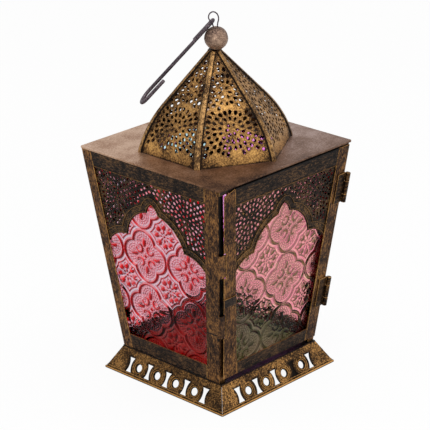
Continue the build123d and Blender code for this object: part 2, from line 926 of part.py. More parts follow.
for number in range(dome_sides):
    keep(dome_rib.part.rotate(Axis.Z, gore_angle * number), f"dome_rib_{number + 1}")

# Finial: a collar closes the dome, and the eye's legs run down through ball and collar
eye_across = turned(1, 0, eye_turn)
finial_middle = turned(finial_shift, 0, eye_turn)
eye_bore_radius = eye_leg_spacing / 2 + eye_wire_radius + eye_bore_clearance
ball_foot = dome_top + collar_sheet
ball_middle = ball_foot + math.sqrt(ball_radius**2 - ball_seat_radius**2)
ball_top = ball_middle + ball_radius
with BuildPart() as dome_collar:
    with BuildSketch(Plane.XY.offset(dome_top)):
        RegularPolygon(
            dome_top_corner_radius + collar_overlap, dome_sides, rotation=180 / dome_sides
        )
        with Locations(finial_middle):
            Circle(eye_bore_radius, mode=Mode.SUBTRACT)
    extrude(amount=collar_sheet)
keep(dome_collar.part, "dome_collar")

foot_latitude = -math.acos(ball_seat_radius / ball_radius)
top_latitude = math.acos(ball_top_radius / ball_radius)
ball_latitudes = [
    foot_latitude + band / ball_bands * (top_latitude - foot_latitude)
    for band in range(ball_bands + 1)
]
ball_profile = [
    (ball_radius * math.cos(latitude), ball_middle + ball_radius * math.sin(latitude))
    for latitude in ball_latitudes
]
with BuildPart() as finial_ball:
    with BuildSketch(Plane.XZ):
        with BuildLine():
            Polyline(
                (eye_bore_radius, ball_profile[0][1]),
                *ball_profile,
                (eye_bore_radius, ball_profile[-1][1]),
                close=True,
            )
        make_face()
    revolve(axis=Axis.Z)
keep(finial_ball.part.moved(Location((*finial_middle, 0))), "finial_ball")

# Eye: one thin wire, soldered under the collar and opened into a leaning loop above the ball
eye_plane = Plane(
    origin=(*finial_middle, ball_top), x_dir=(*eye_across, 0), z_dir=(*turned(0, -1, eye_turn), 0)
)
leg = eye_leg_spacing / 2
tail_foot = dome_top - ball_top - eye_tail_depth
with BuildPart() as eye:
    with BuildLine(eye_plane):
        eye_path = FilletPolyline(
            (-leg, tail_foot),
            (-leg, eye_rise),
            (-eye_left, eye_left_height),
            (-eye_left + eye_crown / 2, eye_height - eye_crown),
            (-eye_crown, eye_height),
            (eye_right, eye_right_height + eye_crown),
            (eye_right, eye_right_height),
            (leg, eye_rise),
            (leg, tail_foot),
            radius=eye_bend_radius,
        )
    with BuildSketch(Plane(origin=eye_path @ 0, z_dir=eye_path % 0)):
        RegularPolygon(eye_wire_radius, eye_wire_sides)
    sweep()
keep(eye.part, "finial_eye")

# Hook: an S of stiff wire that hangs about the eye's left strand
strand_foot = Vector(-leg, eye_rise, 0)
strand_head = Vector(-eye_left, eye_left_height, 0)
hook_place = strand_foot + (strand_head - strand_foot) * hook_strand_share
hook_pivot = eye_plane.from_local_coords(hook_place)
slope = math.radians(hook_slope)
across = Vector(*eye_across, 0)
hook_axis = across * -math.sin(slope) + Vector(0, 0, math.cos(slope))
down_slope = across * -math.cos(slope) - Vector(0, 0, math.sin(slope))
hook_down = down_slope.rotate(Axis((0, 0, 0), hook_axis), -hook_lean)
hook_plane = Plane(origin=hook_pivot, x_dir=hook_down, z_dir=hook_axis)
with BuildPart() as hook:
    with BuildLine(hook_plane) as hook_line:
        Line((hook_eye_return, -hook_eye_bend), (0, -hook_eye_bend))
        ThreePointArc((0, -hook_eye_bend), (-hook_eye_bend, 0), (0, hook_eye_bend))
        Line((0, hook_eye_bend), (hook_shank, hook_eye_bend))
        throat = hook_eye_bend + hook_throat_bend
        throat_far = throat + hook_throat_bend
        ThreePointArc(
            (hook_shank, hook_eye_bend), (hook_shank + hook_throat_bend, throat), (hook_shank, throat_far)
        )
        Line((hook_shank, throat_far), (hook_shank - hook_throat_return, throat_far))
    hook_start = hook_line.wires()[0]
    with BuildSketch(Plane(origin=hook_start @ 0, z_dir=hook_start % 0)):
        RegularPolygon(hook_wire_radius, hook_wire_sides)
    sweep()
keep(hook.part, "hanging_hook")
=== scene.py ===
import math

import bpy
import numpy as np
from mathutils import Matrix, Vector
from mathutils.geometry import delaunay_2d_cdt


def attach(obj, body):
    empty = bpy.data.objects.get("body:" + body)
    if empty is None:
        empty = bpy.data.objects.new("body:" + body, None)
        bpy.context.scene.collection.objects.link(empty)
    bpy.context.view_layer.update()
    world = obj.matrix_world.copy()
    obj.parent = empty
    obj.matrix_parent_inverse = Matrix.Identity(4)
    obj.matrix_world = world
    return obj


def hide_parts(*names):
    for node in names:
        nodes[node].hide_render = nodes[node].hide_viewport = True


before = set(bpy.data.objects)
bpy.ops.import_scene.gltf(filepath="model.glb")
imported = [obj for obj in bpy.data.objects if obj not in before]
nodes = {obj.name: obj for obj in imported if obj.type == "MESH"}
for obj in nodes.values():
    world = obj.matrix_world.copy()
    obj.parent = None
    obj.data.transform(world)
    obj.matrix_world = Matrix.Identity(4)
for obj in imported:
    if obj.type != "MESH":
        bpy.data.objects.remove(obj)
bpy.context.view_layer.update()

# Sizes in millimetres, as in the solids. The door is the -Y side and +Z is up.
MM = 0.001
body_floor = 21.0
body_height = 181.0
half_bottom = 58.0
half_top = 79.0
frame_sheet = 1.0
fretwork_sheet = 0.8
glass_sheet = 3.0
dome_floor = 203.2
dome_top = 283.0
dome_sides = 6
dome_foot_corner = 66.0
dome_top_corner = 5.2
dome_bend = (38.0, 242.2)
dome_skin = 0.6
rib_widths = (8.0, 5.0)
skirt_half = 70.0
skirt_top_half = 58.6
skirt_height = 20.0
skirt_sheet = 0.95

body_lean = half_top - half_bottom
face_length = math.hypot(body_height, body_lean)
lean_sin = body_lean / face_length
lean_cos = body_height / face_length
FRONT, RIGHT, BACK, LEFT = range(4)
side_names = ("front", "right", "back", "left")
chance = np.random.default_rng(11)


def turned(points, degrees):
    """Points turned about the lantern's axis."""
    points = np.array(points, float)
    c = math.cos(math.radians(degrees))
    s = math.sin(math.radians(degrees))
    x = c * points[:, 0] - s * points[:, 1]
    y = s * points[:, 0] + c * points[:, 1]
    return np.column_stack((x, y, points[:, 2]))


def half_width(climb):
    """Half the width of a body side at a distance up its slope."""
    return half_bottom + body_lean * climb / face_length


def on_side(side, across, climb, depth):
    """Points of a body side: across to the right from outside, climb up the slope, depth inwards."""
    across, climb, depth = (np.ravel(values) for values in np.broadcast_arrays(across, climb, depth))
    y = -half_bottom - lean_sin * climb + lean_cos * depth
    z = body_floor + lean_cos * climb + lean_sin * depth
    return turned(np.column_stack((across, y, z)), 90 * side)


# Meshes


def new_object(name, data):
    """An object of the scene."""
    obj = bpy.data.objects.new(name, data)
    bpy.context.collection.objects.link(obj)
    return obj


def make_piece(name, points, faces, body, material, slot, replaces=(), sharp=35.0, **attributes):
    """A mesh piece from points in millimetres, riding on a body."""
    mesh = bpy.data.meshes.new(name)
    mesh.from_pydata((np.asarray(points) * MM).tolist(), [], faces)
    for attribute, values in attributes.items():
        layer = mesh.attributes.new(attribute, "FLOAT", "POINT")
        layer.data.foreach_set("value", np.asarray(values, np.float32))
    mesh.shade_smooth()
    mesh.set_sharp_from_angle(angle=math.radians(sharp))
    mesh.materials.append(material)
    obj = new_object(name, mesh)
    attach(obj, body)
    if replaces:
        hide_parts(*replaces)
    return obj


def joined(*shapes):
    """Several (points, faces, wear) shapes as one."""
    points, faces, wear = [], [], []
    for shape_points, shape_faces, shape_wear in shapes:
        start = sum(len(p) for p in points)
        points.append(np.asarray(shape_points, float))
        faces += [tuple(start + index for index in face) for face in shape_faces]
        wear.append(np.broadcast_to(np.asarray(shape_wear, float), (len(shape_points),)))
    return np.vstack(points), faces, np.concatenate(wear)


def inside(loop, points):
    """Whether each point lies inside a closed loop."""
    loop = np.asarray(loop, float)
    points = np.asarray(points, float).reshape(-1, 2)
    x, y = points[:, :1], points[:, 1:]
    x0, y0 = loop.T
    x1, y1 = np.roll(loop, -1, axis=0).T
    crosses = (y0 > y) != (y1 > y)
    rise = np.where(y1 == y0, 1.0, y1 - y0)
    return (crosses & (x < x0 + (y - y0) * (x1 - x0) / rise)).sum(axis=1) % 2 == 1


def pierced(outline, holes, spacing, place, thickness, rim, back=0.5, worn=None):
    """A sheet with holes, worn on the flat, by the rim share at the holes and by the back share behind.

    place(x, y, depth) gives its points, and worn(x, y) the wear of its flat where that varies.
    """
    loops = [np.asarray(loop, float) for loop in (outline, *holes)]
    low, high = loops[0].min(axis=0), loops[0].max(axis=0)
    columns, rows = np.meshgrid(
        np.arange(low[0] + spacing / 2, high[0], spacing), np.arange(low[1] + spacing / 2, high[1], spacing)
    )
    fill = np.column_stack((columns.ravel(), rows.ravel()))
    rims = np.vstack(loops)
    fill = fill[inside(loops[0], fill)]
    for hole in loops[1:]:
        fill = fill[~inside(hole, fill)]
    clear = [np.hypot(*(rims - point).T).min() > 0.45 * spacing for point in fill]
    fill = fill[clear]
    points = np.vstack((rims, fill))
    loop_of = np.concatenate(
        [np.full(len(loop), number) for number, loop in enumerate(loops)] + [np.full(len(fill), -1)]
    )
    edges = []
    for number, loop in enumerate(loops):
        start = int(np.searchsorted(loop_of[: len(rims)], number))
        edges += [(start + i, start + (i + 1) % len(loop)) for i in range(len(loop))]
    found = delaunay_2d_cdt([Vector(p) for p in points.tolist()], edges, [], 1, 1e-6)[2]
    triangles = []
    for triangle in found:
        loop = loop_of[triangle[0]]
        if loop > 0 and all(loop_of[corner] == loop for corner in triangle):
            if inside(loops[loop], points[list(triangle)].mean(axis=0))[0]:
                continue
        triangles.append(tuple(triangle))
    count = len(points)
    directed = {edge for a, b, c in triangles for edge in ((a, b), (b, c), (c, a))}
    faces = list(triangles)
    faces += [(c + count, b + count, a + count) for a, b, c in triangles]
    faces += [(a, a + count, b + count, b) for a, b in directed if (b, a) not in directed]
    solid = np.vstack((place(*points.T, 0.0), place(*points.T, thickness)))
    wear = np.where(loop_of > 0, rim, 1.0)
    if worn:
        wear = wear * worn(*points.T)
    return solid, faces, np.concatenate((wear, back * wear))


def grid_faces(rows, columns, wrap_rows=False, wrap_columns=False, flip=False):
    """Faces between neighbouring rows of points, wound the other way round if flipped."""
    faces = []
    for row in range(rows if wrap_rows else rows - 1):
        a, b = row * columns, (row + 1) % rows * columns
        for i in range(columns if wrap_columns else columns - 1):
            j = (i + 1) % columns
            faces.append((a + i, b + i, b + j, a + j) if flip else (a + i, a + j, b + j, b + i))
    return faces


def closed_rings(rows, columns):
    """Faces of a round shape made of rings of points, with both ends closed."""
    last = (rows - 1) * columns
    faces = grid_faces(rows, columns, wrap_columns=True)
    return [*faces, tuple(reversed(range(columns))), tuple(range(last, last + columns))]


# Section of a bead, in shares of its width and height, and the wear of its crown and flanks
bead_section = ((0.5, -0.1), (0.38, 0.6), (0.15, 0.95), (-0.15, 0.95), (-0.38, 0.6), (-0.5, -0.1))
bead_crown = 0.7
crown_wear = 1.9
flank_wear = 0.2


def ridge(line, place, width, height, closed=False):
    """A rounded bead along a flat line. place(x, y, depth) gives its points, proud ones at depth < 0."""
    line = np.asarray(line, float)
    if closed:
        steps = np.roll(line, -1, axis=0) - np.roll(line, 1, axis=0)
    else:
        steps = np.gradient(line, axis=0)
    steps /= np.hypot(*steps.T)[:, None]
    left = np.column_stack((-steps[:, 1], steps[:, 0]))
    points = [place(*(line + left * width * across).T, -height * rise) for across, rise in bead_section]
    wear = [np.full(len(line), crown_wear if rise > bead_crown else flank_wear) for _, rise in bead_section]
    faces = grid_faces(len(bead_section), len(line), wrap_columns=closed, flip=True)
    return np.vstack(points), faces, np.concatenate(wear)


# Domed ends of a wire: their length as a share of its radius, and the radii of their rings
tip_length = 0.6
tip_shares = (0.5, 0.85)


def tube(line, radius, sides):
    """A round wire along a line of points, closed by domed ends."""
    line = np.asarray(line, float)
    tangents = np.gradient(line, axis=0)
    tangents /= np.linalg.norm(tangents, axis=1)[:, None]
    tip = tip_length * radius
    stations = [(line[0] - tangents[0] * tip * (1 - share), tangents[0], share) for share in tip_shares]
    stations += [(point, tangent, 1.0) for point, tangent in zip(line, tangents)]
    for share in reversed(tip_shares):
        stations.append((line[-1] + tangents[-1] * tip * (1 - share), tangents[-1], share))
    across = np.cross(tangents[0], (0.3, 0.5, 0.8))
    angles = 2 * math.pi * np.arange(sides) / sides
    points = []
    for point, tangent, share in stations:
        across = across - tangent * np.dot(across, tangent)
        across /= np.linalg.norm(across)
        other = np.cross(tangent, across)
        ring = np.outer(np.cos(angles), across) + np.outer(np.sin(angles), other)
        points.append(point + radius * share * ring)
    return np.vstack(points), closed_rings(len(stations), sides)


def arc(start, end, rise, count=12):
    """Points of an arc after its start; a positive rise bulges to the left."""
    start, end = np.array(start, float), np.array(end, float)
    chord = end - start
    length = np.hypot(*chord)
    ahead = chord / length
    left = np.array((-chord[1], chord[0])) / length
    radius = (length**2 / 4 + rise**2) / (2 * abs(rise))
    side = math.copysign(1.0, rise)
    centre = (start + end) / 2 + left * (rise - side * radius)
    half = math.asin(min(1.0, length / (2 * radius)))
    points = []
    for step in range(1, count + 1):
        angle = -half + 2 * half * step / count
        points.append(tuple(centre + radius * (side * left * math.cos(angle) + ahead * math.sin(angle))))
    return points


def round_line(x, y, radius, first, last, count, endpoint=True):
    """Points on a circle about a middle, from a first angle to a last in degrees."""
    angles = np.radians(np.linspace(first, last, count, endpoint=endpoint))
    return [(x + radius * math.cos(angle), y + radius * math.sin(angle)) for angle in angles]


# Irregularity of hand punching: least scale, most turn in radians and most shift of a hole
punch_scale = 0.82
punch_turn = 0.25
punch_shift = 0.2
petal_taper = 0.2
inner_hole_scale = 0.78
ring_growth = 0.11


def petal(x, y, angle, scale, size, corners=10):
    """Loop of a small punched hole, longer along its angle and broader at the outer end."""
    length, width = size
    scale *= chance.uniform(punch_scale, 1.0)
    angle += chance.uniform(-punch_turn, punch_turn)
    x += chance.uniform(-punch_shift, punch_shift)
    y += chance.uniform(-punch_shift, punch_shift)
    c, s = math.cos(angle), math.sin(angle)
    loop = []
    for step in range(corners):
        turn = 2 * math.pi * step / corners
        along = scale * length / 2 * math.cos(turn)
        across = scale * width / 2 * math.sin(turn) * (1 + petal_taper * math.cos(turn))
        loop.append((x + along * c - across * s, y + along * s + across * c))
    return loop


def rosettes(middles, first, pitch, rings, spacing, gap, fits):
    """Places, angles and scales of holes in rings about some middles, those of two middles a gap apart.

    The rings have a first radius, a pitch and a number, and the holes a spacing along them.
    """
    places = []
    for middle in middles:
        others = list(places)
        for ring in range(rings):
            radius = first + ring * pitch
            count = round(2 * math.pi * radius / spacing)
            for step in range(count):
                angle = 2 * math.pi * (step + 0.5 * (ring % 2)) / count
                x = middle[0] + radius * math.cos(angle)
                y = middle[1] + radius * math.sin(angle)
                near = min(middles, key=lambda other: math.hypot(x - other[0], y - other[1]))
                clear = all(math.hypot(x - other[0], y - other[1]) > gap for other in others)
                if near == middle and clear and fits(x, y):
                    places.append((x, y, angle, min(1.0, inner_hole_scale + ring_growth * ring)))
    return places


# Materials


def linear(red, green, blue):
    """A colour as seen on a screen, 0 to 255, as the shader's linear values."""
    values = []
    for channel in (red, green, blue):
        share = channel / 255
        values.append(share / 12.92 if share <= 0.04045 else ((share + 0.055) / 1.055) ** 2.4)
    return (*values, 1.0)


def node_adder(tree):
    """A function that adds a node to a tree, emptied first, with the node's inputs set or linked."""
    tree.nodes.clear()

    def add(kind, inputs=(), **settings):
        node = tree.nodes.new(kind)
        for key, value in settings.items():
            setattr(node, key, value)
        for socket, value in dict(inputs).items():
            if isinstance(value, bpy.types.NodeSocket):
                tree.links.new(value, node.inputs[socket])
            else:
                node.inputs[socket].default_value = value
        return node

    return add


def new_material(name):
    """An empty node material and the function that adds its nodes."""
    material = bpy.data.materials.new(name)
    material.use_nodes = True
    return material, node_adder(material.node_tree)


def noise(add, place, scale, detail=5.0, rough=0.6):
    """A noise texture's value at a place."""
    inputs = {"Vector": place, "Scale": scale, "Detail": detail, "Roughness": rough}
    return add("ShaderNodeTexNoise", inputs).outputs["Fac"]


def maths(add, operation, first, second=0.0):
    """The result of a sum on one or two values."""
    return add("ShaderNodeMath", {0: first, 1: second}, operation=operation).outputs[0]


def reach_along(add, place, direction):
    """How far a place lies in a direction."""
    return add("ShaderNodeVectorMath", {0: place, 1: direction}, operation="DOT_PRODUCT").outputs["Value"]


def ranged(add, value, low, high, first=0.0, last=1.0):
    """A value from low to high, as one from first to last."""
    inputs = {"Value": value, 1: low, 2: high, 3: first, 4: last}
    return add("ShaderNodeMapRange", inputs).outputs["Result"]


def blended(add, share, first, second, blend_type="MIX"):
    """A mix of two colours."""
    inputs = {"Factor": share, 6: first, 7: second}
    return add("ShaderNodeMix", inputs, data_type="RGBA", blend_type=blend_type).outputs[2]


def end_material(add, inputs):
    """Adds the last two nodes of a material, its shader and its output."""
    shader = add("ShaderNodeBsdfPrincipled", inputs)
    add("ShaderNodeOutputMaterial", {"Surface": shader.outputs["BSDF"]})


# Patina of the brass: scales of its noises, directions in metres, and roughness of dark and bright metal
cloud_scale = 55.0
stroke_scale = 620.0
speck_scale = 1700.0
stroke_share = 0.38
fade_towards = (0.75, 1.25, 0.0)
fade_span = (-0.15, 0.02)
tint_towards = (-1.0, 1.0, 0.0)
# Near black of the painted shade
painted_shade_colour = (12, 9, 8)
patina_roughness = (0.6, 0.36)


def brass(
    name,
    dark,
    middle,
    bright,
    balance=0.0,
    grain=(1, 1, 1),
    worn=0.0,
    metal=0.92,
    fade=0.0,
    painted_shade_mask=None,
    fine=0.38,
    spread=0.09,
    specular=0.5,
    tints=None,
    tint_reach=0.02,
):
    """Antiqued brass: dark patina in clouds, strokes and specks, rubbed through to brighter metal.

    worn is how much the mesh's wear counts, fade darkens the front left corner, the painted-shade mask (add,
    place) is 1 where painted shade makes it near black, fine is the share of specks, and two tints colour its
    front right and back left; on the inner floor the tints are painted coloured light from the panes.
    """
    material, add = new_material(name)
    place = add("ShaderNodeTexCoord").outputs["Object"]
    brushed = add("ShaderNodeMapping", {"Vector": place, "Scale": grain}).outputs["Vector"]
    clouds = noise(add, place, cloud_scale, 3.0)
    strokes = noise(add, brushed, stroke_scale, 4.0, 0.65)
    specks = noise(add, brushed, speck_scale, 2.0, 0.6)
    mixed = balance
    for texture, share in ((clouds, 1 - stroke_share - fine), (strokes, stroke_share), (specks, fine)):
        mixed = maths(add, "ADD", mixed, maths(add, "MULTIPLY", texture, share))
    if worn:
        wear = add("ShaderNodeAttribute", attribute_name="wear").outputs["Fac"]
        rubbed = maths(add, "MULTIPLY", maths(add, "SUBTRACT", wear, 1.0), worn)
        mixed = maths(add, "ADD", mixed, rubbed)
    if fade:
        towards = reach_along(add, place, fade_towards)
        mixed = maths(add, "ADD", mixed, ranged(add, towards, *fade_span, -fade, fade))
    low, high = 0.5 - spread, 0.5 + spread
    ramp = add("ShaderNodeValToRGB", {"Fac": mixed})
    ramp.color_ramp.elements[0].position = low
    ramp.color_ramp.elements[0].color = linear(*dark)
    ramp.color_ramp.elements[1].position = high
    ramp.color_ramp.elements[1].color = linear(*bright)
    ramp.color_ramp.elements.new(0.5).color = linear(*middle)
    colour = ramp.outputs["Color"]
    if tints:
        share = ranged(add, reach_along(add, place, tint_towards), -tint_reach, tint_reach)
        light = blended(add, share, (*tints[0], 1.0), (*tints[1], 1.0))
        colour = blended(add, 1.0, colour, light, "MULTIPLY")
    # Painted shade: near black wherever the mask is 1
    if painted_shade_mask:
        colour = blended(add, painted_shade_mask(add, place), colour, linear(*painted_shade_colour))
    bump = add("ShaderNodeBump", {"Height": mixed, "Strength": 0.5, "Distance": 0.0005})
    end_material(
        add,
        {
            "Base Color": colour,
            "Roughness": ranged(add, mixed, low, high, *patina_roughness),
            "Metallic": metal,
            "Specular IOR Level": specular,
            "Normal": bump.outputs["Normal"],
        },
    )
    return material


# Painted shade, near black: the slot behind the front left corner, the lap and hole at its foot, the door's
# top, the floor
slot_depths = (1.7, 1.3)
slot_foot = 64.0
lap_climb = 46.7
lap_half = 0.65
lap_edge = 59.0
post_hole = (59.6, 43.0)
post_hole_radius = 1.5
lintel_dark = (198.0, 199.0)
floor_dark_front = (42.0, 47.0)
floor_dark_side = 55.5


def post_painted_shade(add, place):
    """Painted shade: 1 in the slot beside the door's free stile, at the lap and in the hole below, and 0
    elsewhere.
    """
    surface = lean_sin * body_floor - lean_cos * half_bottom
    slot = 1.0
    for direction, limit in (
        ((0.0, lean_cos, lean_sin), surface + slot_depths[0]),
        ((lean_cos, 0.0, lean_sin), surface + slot_depths[1]),
        ((0.0, 0.0, 1.0), slot_foot),
    ):
        beyond = maths(add, "GREATER_THAN", reach_along(add, place, direction), limit * MM)
        slot = maths(add, "MULTIPLY", slot, beyond)
    climb = reach_along(add, place, (-lean_sin, 0.0, lean_cos))
    level = (lean_sin * half_bottom + lean_cos * body_floor + lap_climb) * MM
    rise = maths(add, "ABSOLUTE", maths(add, "SUBTRACT", climb, level))
    behind = maths(add, "GREATER_THAN", reach_along(add, place, (0.0, 1.0, 0.0)), -lap_edge * MM)
    lap = maths(add, "MULTIPLY", maths(add, "LESS_THAN", rise, lap_half * MM), behind)
    spot = {0: place, 1: on_side(LEFT, *post_hole, 0.0)[0] * MM}
    away = add("ShaderNodeVectorMath", spot, operation="DISTANCE").outputs["Value"]
    hole = maths(add, "LESS_THAN", away, post_hole_radius * MM)
    return maths(add, "MAXIMUM", slot, maths(add, "MAXIMUM", lap, hole))


def lintel_painted_shadow(add, place):
    """Painted shadow under the top plate: 1 along the top edge of the door and 0 below."""
    height = reach_along(add, place, (0.0, 0.0, 1.0))
    return ranged(add, height, *(limit * MM for limit in lintel_dark))


def floor_painted_shade(add, place):
    """Painted shade: 1 along the front of the floor, under the door, and at its side edges, and 0 elsewhere.
    """
    front = reach_along(add, place, (0.0, -1.0, 0.0))
    strip = ranged(add, front, *(limit * MM for limit in floor_dark_front))
    aside = maths(add, "ABSOLUTE", reach_along(add, place, (1.0, 0.0, 0.0)))
    return maths(add, "MAXIMUM", strip, maths(add, "GREATER_THAN", aside, floor_dark_side * MM))


# Glass: scales of its streaks and seeds, how much the streaks colour it, roughness and bending of light
streak_scale = 70.0
streak_share = 0.12
seed_scale = 650.0
glass_roughness = (0.02, 0.05)
glass_ior = 1.16


def glass(name, flat, line, highlight_tint, shade_tint):
    """Pressed coloured glass: pale in the flats, dense where it is thick, with painted highlight and painted
    shade at its slopes.
    """
    material, add = new_material(name)
    place = add("ShaderNodeTexCoord").outputs["Object"]
    thick = add("ShaderNodeAttribute", attribute_name="line").outputs["Fac"]
    slope = add("ShaderNodeAttribute", attribute_name="slope").outputs["Fac"]
    streak = noise(add, place, streak_scale)
    uneven = maths(add, "MULTIPLY", maths(add, "SUBTRACT", streak, 0.5), streak_share)
    # Painted highlight where the slope attribute is above 0, painted shade where it is below
    highlight_share = maths(add, "MAXIMUM", slope, 0.0)
    shade_share = maths(add, "MAXIMUM", maths(add, "MULTIPLY", slope, -1.0), 0.0)
    tint = blended(add, maths(add, "ADD", thick, uneven), (*flat, 1.0), (*line, 1.0))
    tint = blended(add, highlight_share, tint, (*highlight_tint, 1.0))
    tint = blended(add, shade_share, tint, (*shade_tint, 1.0))
    seeds = noise(add, place, seed_scale, 2.0)
    bump = add("ShaderNodeBump", {"Height": streak, "Strength": 0.15, "Distance": 0.0006})
    end_material(
        add,
        {
            "Base Color": tint,
            "Roughness": ranged(add, seeds, 0.3, 0.7, *glass_roughness),
            "Transmission Weight": 1.0,
            "IOR": glass_ior,
            "Normal": bump.outputs["Normal"],
        },
    )
    return material


upright_grain = (1, 1, 0.3)
level_grain = (0.35, 0.35, 1)
frame_colours = ((14, 9, 7), (66, 42, 25), (146, 101, 52))
frame_brass = brass("frame_brass", *frame_colours, grain=upright_grain)
# The jamb carries painted shade in the slot beside the door, at the lap and in the hole
jamb_brass = brass("jamb_brass", *frame_colours, grain=upright_grain, painted_shade_mask=post_painted_shade)
rail_colours = ((9, 6, 5), (33, 23, 17), (98, 69, 40))
rail_brass = brass("rail_brass", *rail_colours, grain=level_grain)
# The door's top rail and its edge carry a painted shadow along their top
lintel_brass = brass("lintel_brass", *rail_colours, grain=level_grain, painted_shade_mask=lintel_painted_shadow)
edge_colours = ((70, 47, 28), (146, 105, 58), (200, 154, 92))
edge_brass = brass("edge_brass", *edge_colours)
lintel_edge = brass("lintel_edge", *edge_colours, painted_shade_mask=lintel_painted_shadow)
dark_brass = brass("dark_brass", (14, 11, 10), (34, 26, 22), (70, 52, 38))
plate_colours = ((50, 24, 10), (138, 98, 68), (190, 156, 130))
plate_brass = brass(
    "plate_brass",
    *plate_colours,
    metal=0.75,
    fade=0.10,
    fine=0.26,
    spread=0.15,
    tints=((0.62, 0.64, 0.80), (1.0, 1.0, 1.0)),
    tint_reach=0.08,
)
dome_colours = ((40, 29, 22), (146, 107, 62), (208, 160, 92))
dome_brass = brass("dome_brass", *dome_colours, balance=0.01, worn=0.12, fine=0.34)
arch_brass = brass("arch_brass", (6, 5, 4), (26, 18, 13), (126, 90, 48), worn=0.1)
skirt_brass = brass("skirt_brass", (16, 11, 7), (78, 54, 29), (172, 126, 70), worn=0.14)
rib_colours = ((30, 21, 15), (98, 72, 46), (172, 132, 82))
rib_brass = brass("rib_brass", *rib_colours, grain=(1, 1, 0.25), worn=0.2)
ball_colours = ((48, 37, 37), (116, 93, 80), (168, 140, 119))
ball_brass = brass("ball_brass", *ball_colours, metal=0.7, fine=0.16, specular=0.25)
# Inner brass far lighter than the brass outside: painted light standing in for the dim light behind the panes
inner_colours = ((140, 110, 82), (186, 150, 114), (216, 184, 146))
# Painted coloured light from the panes on the inner brass: bluish towards the front right, red towards the
# back left
floor_painted_light = ((0.95, 1.6, 3.1), (1.05, 0.32, 0.34))
# Painted shade on the inner brass: near black under the door and at the floor's sides
inner_brass = brass(
    "inner_brass", *inner_colours, metal=0.2, painted_shade_mask=floor_painted_shade, specular=0.1, tints=floor_painted_light
)
wire_colours = ((40, 33, 38), (78, 68, 74), (124, 110, 116))
wire_steel = brass("wire_steel", *wire_colours, metal=0.3, specular=0.2)
# Each glass: its flat and line tints, then the colours of its painted highlight and painted shade
red_glass = glass("red_glass", (1.0, 0.42, 0.49), (0.94, 0.0002, 0.0004), (1.0, 0.95, 0.98), (0.06, 0.0, 0.0))
green_glass = glass(
    "green_glass", (0.97, 1.0, 0.44), (0.055, 0.10, 0.006), (1.0, 1.0, 0.62), (0.002, 0.008, 0.001)
)
cyan_glass = glass("cyan_glass", (0.95, 0.98, 0.99), (0.30, 0.71, 0.79), (0.98, 0.99, 1.0), (0.12, 0.5, 0.6))
magenta_glass = glass(
    "magenta_glass", (0.98, 0.46, 0.84), (0.78, 0.14, 0.62), (1.0, 0.72, 0.95), (0.44, 0.04, 0.34)
)

# Frame pieces keep their solids, with softened edges worn to brighter metal
weld_gap = 0.01
edge_angle = 50.0
frame_edge = 0.4
small_edge = 0.15


def finish_edges(obj, material, edge, width):
    """Gives an object its material and a narrow worn edge."""
    obj.data.materials.clear()
    obj.data.materials.append(material)
    obj.data.materials.append(edge)
    weld = obj.modifiers.new("weld", "WELD")
    weld.merge_threshold = weld_gap * MM
    bevel = obj.modifiers.new("soft_edge", "BEVEL")
    bevel.width = width * MM
    bevel.segments = 2
    bevel.limit_method = "ANGLE"
    bevel.angle_limit = math.radians(edge_angle)
    bevel.material = 1


def dress(name, material, edge=edge_brass, width=frame_edge):
    """Gives a CAD node its material and a narrow worn edge."""
    finish_edges(nodes[name], material, edge, width)


dress("post_front_left", jamb_brass)
for name in ("post_front_right", "post_back_right", "post_back_left", "door_free_stile", "door_hinge_stile"):
    dress(name, frame_brass)
for side_name in side_names[1:]:
    dress(f"bottom_rail_{side_name}", rail_brass)
    dress(f"top_rail_{side_name}", rail_brass)
dress("door_bottom_rail", rail_brass)
dress("door_top_rail", lintel_brass, lintel_edge)
dress("top_plate", plate_brass)
# The floor plate's edges are near-black brass, painted shade under the rails and the door
dress("floor_plate", inner_brass, dark_brass)
dress("candle_cup", inner_brass)
dress("dome_collar", rib_brass)
dress("door_latch", dark_brass)
# The header, seen in the gap above the door, is near-black brass as painted shade
dress("front_header", dark_brass)
for name in ("pane_clips", "door_pane_clips"):
    dress(name, inner_brass, width=small_edge)

# Hinge leaves rolled a little fuller than their solids, so that the knuckles close up
hinge_fullness = 0.22
hinge_bodies = {"door_leaf": "door", "post_leaf": "lantern"}
for end in ("lower", "upper"):
    dress(f"{end}_hinge_pin", rail_brass, width=small_edge)
    for leaf_name, body in hinge_bodies.items():
        name = f"{end}_hinge_{leaf_name}"
        rolled = new_object(f"{name}_rolled", nodes[name].data.copy())
        finish_edges(rolled, rail_brass, edge_brass, small_edge)
        fuller = rolled.modifiers.new("fuller", "DISPLACE")
        fuller.strength = hinge_fullness * MM
        fuller.mid_level = 0.0
        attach(rolled, body)
        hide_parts(name)

# Rivet heads at the feet of two frame pieces and at the door's upper corner
rivet_radius = 0.9
rivet_height = 0.4
rivet_section = ((1.0, -0.3), (0.85, 0.55), (0.45, 0.95))
rivet_sides = 14


def rivet(side, across, climb):
    """A low round rivet head on a body side."""
    rings = []
    for share, rise in rivet_section:
        ring = round_line(across, climb, rivet_radius * share, 0, 360, rivet_sides, endpoint=False)
        rings.append(on_side(side, *np.transpose(ring), -rivet_height * rise))
    return np.vstack(rings), closed_rings(len(rings), rivet_sides), 1.0


for name, body, side, places in (
    ("frame_rivet", "lantern", LEFT, ((-51.7, 6.7),)),
    ("door_rivets", "door", FRONT, ((48.1, 10.9), (70.1, 172.3))),
):
    points, faces, _ = joined(*(rivet(side, *place) for place in places))
    make_piece(name, points, faces, body, dark_brass, "antique_brass")

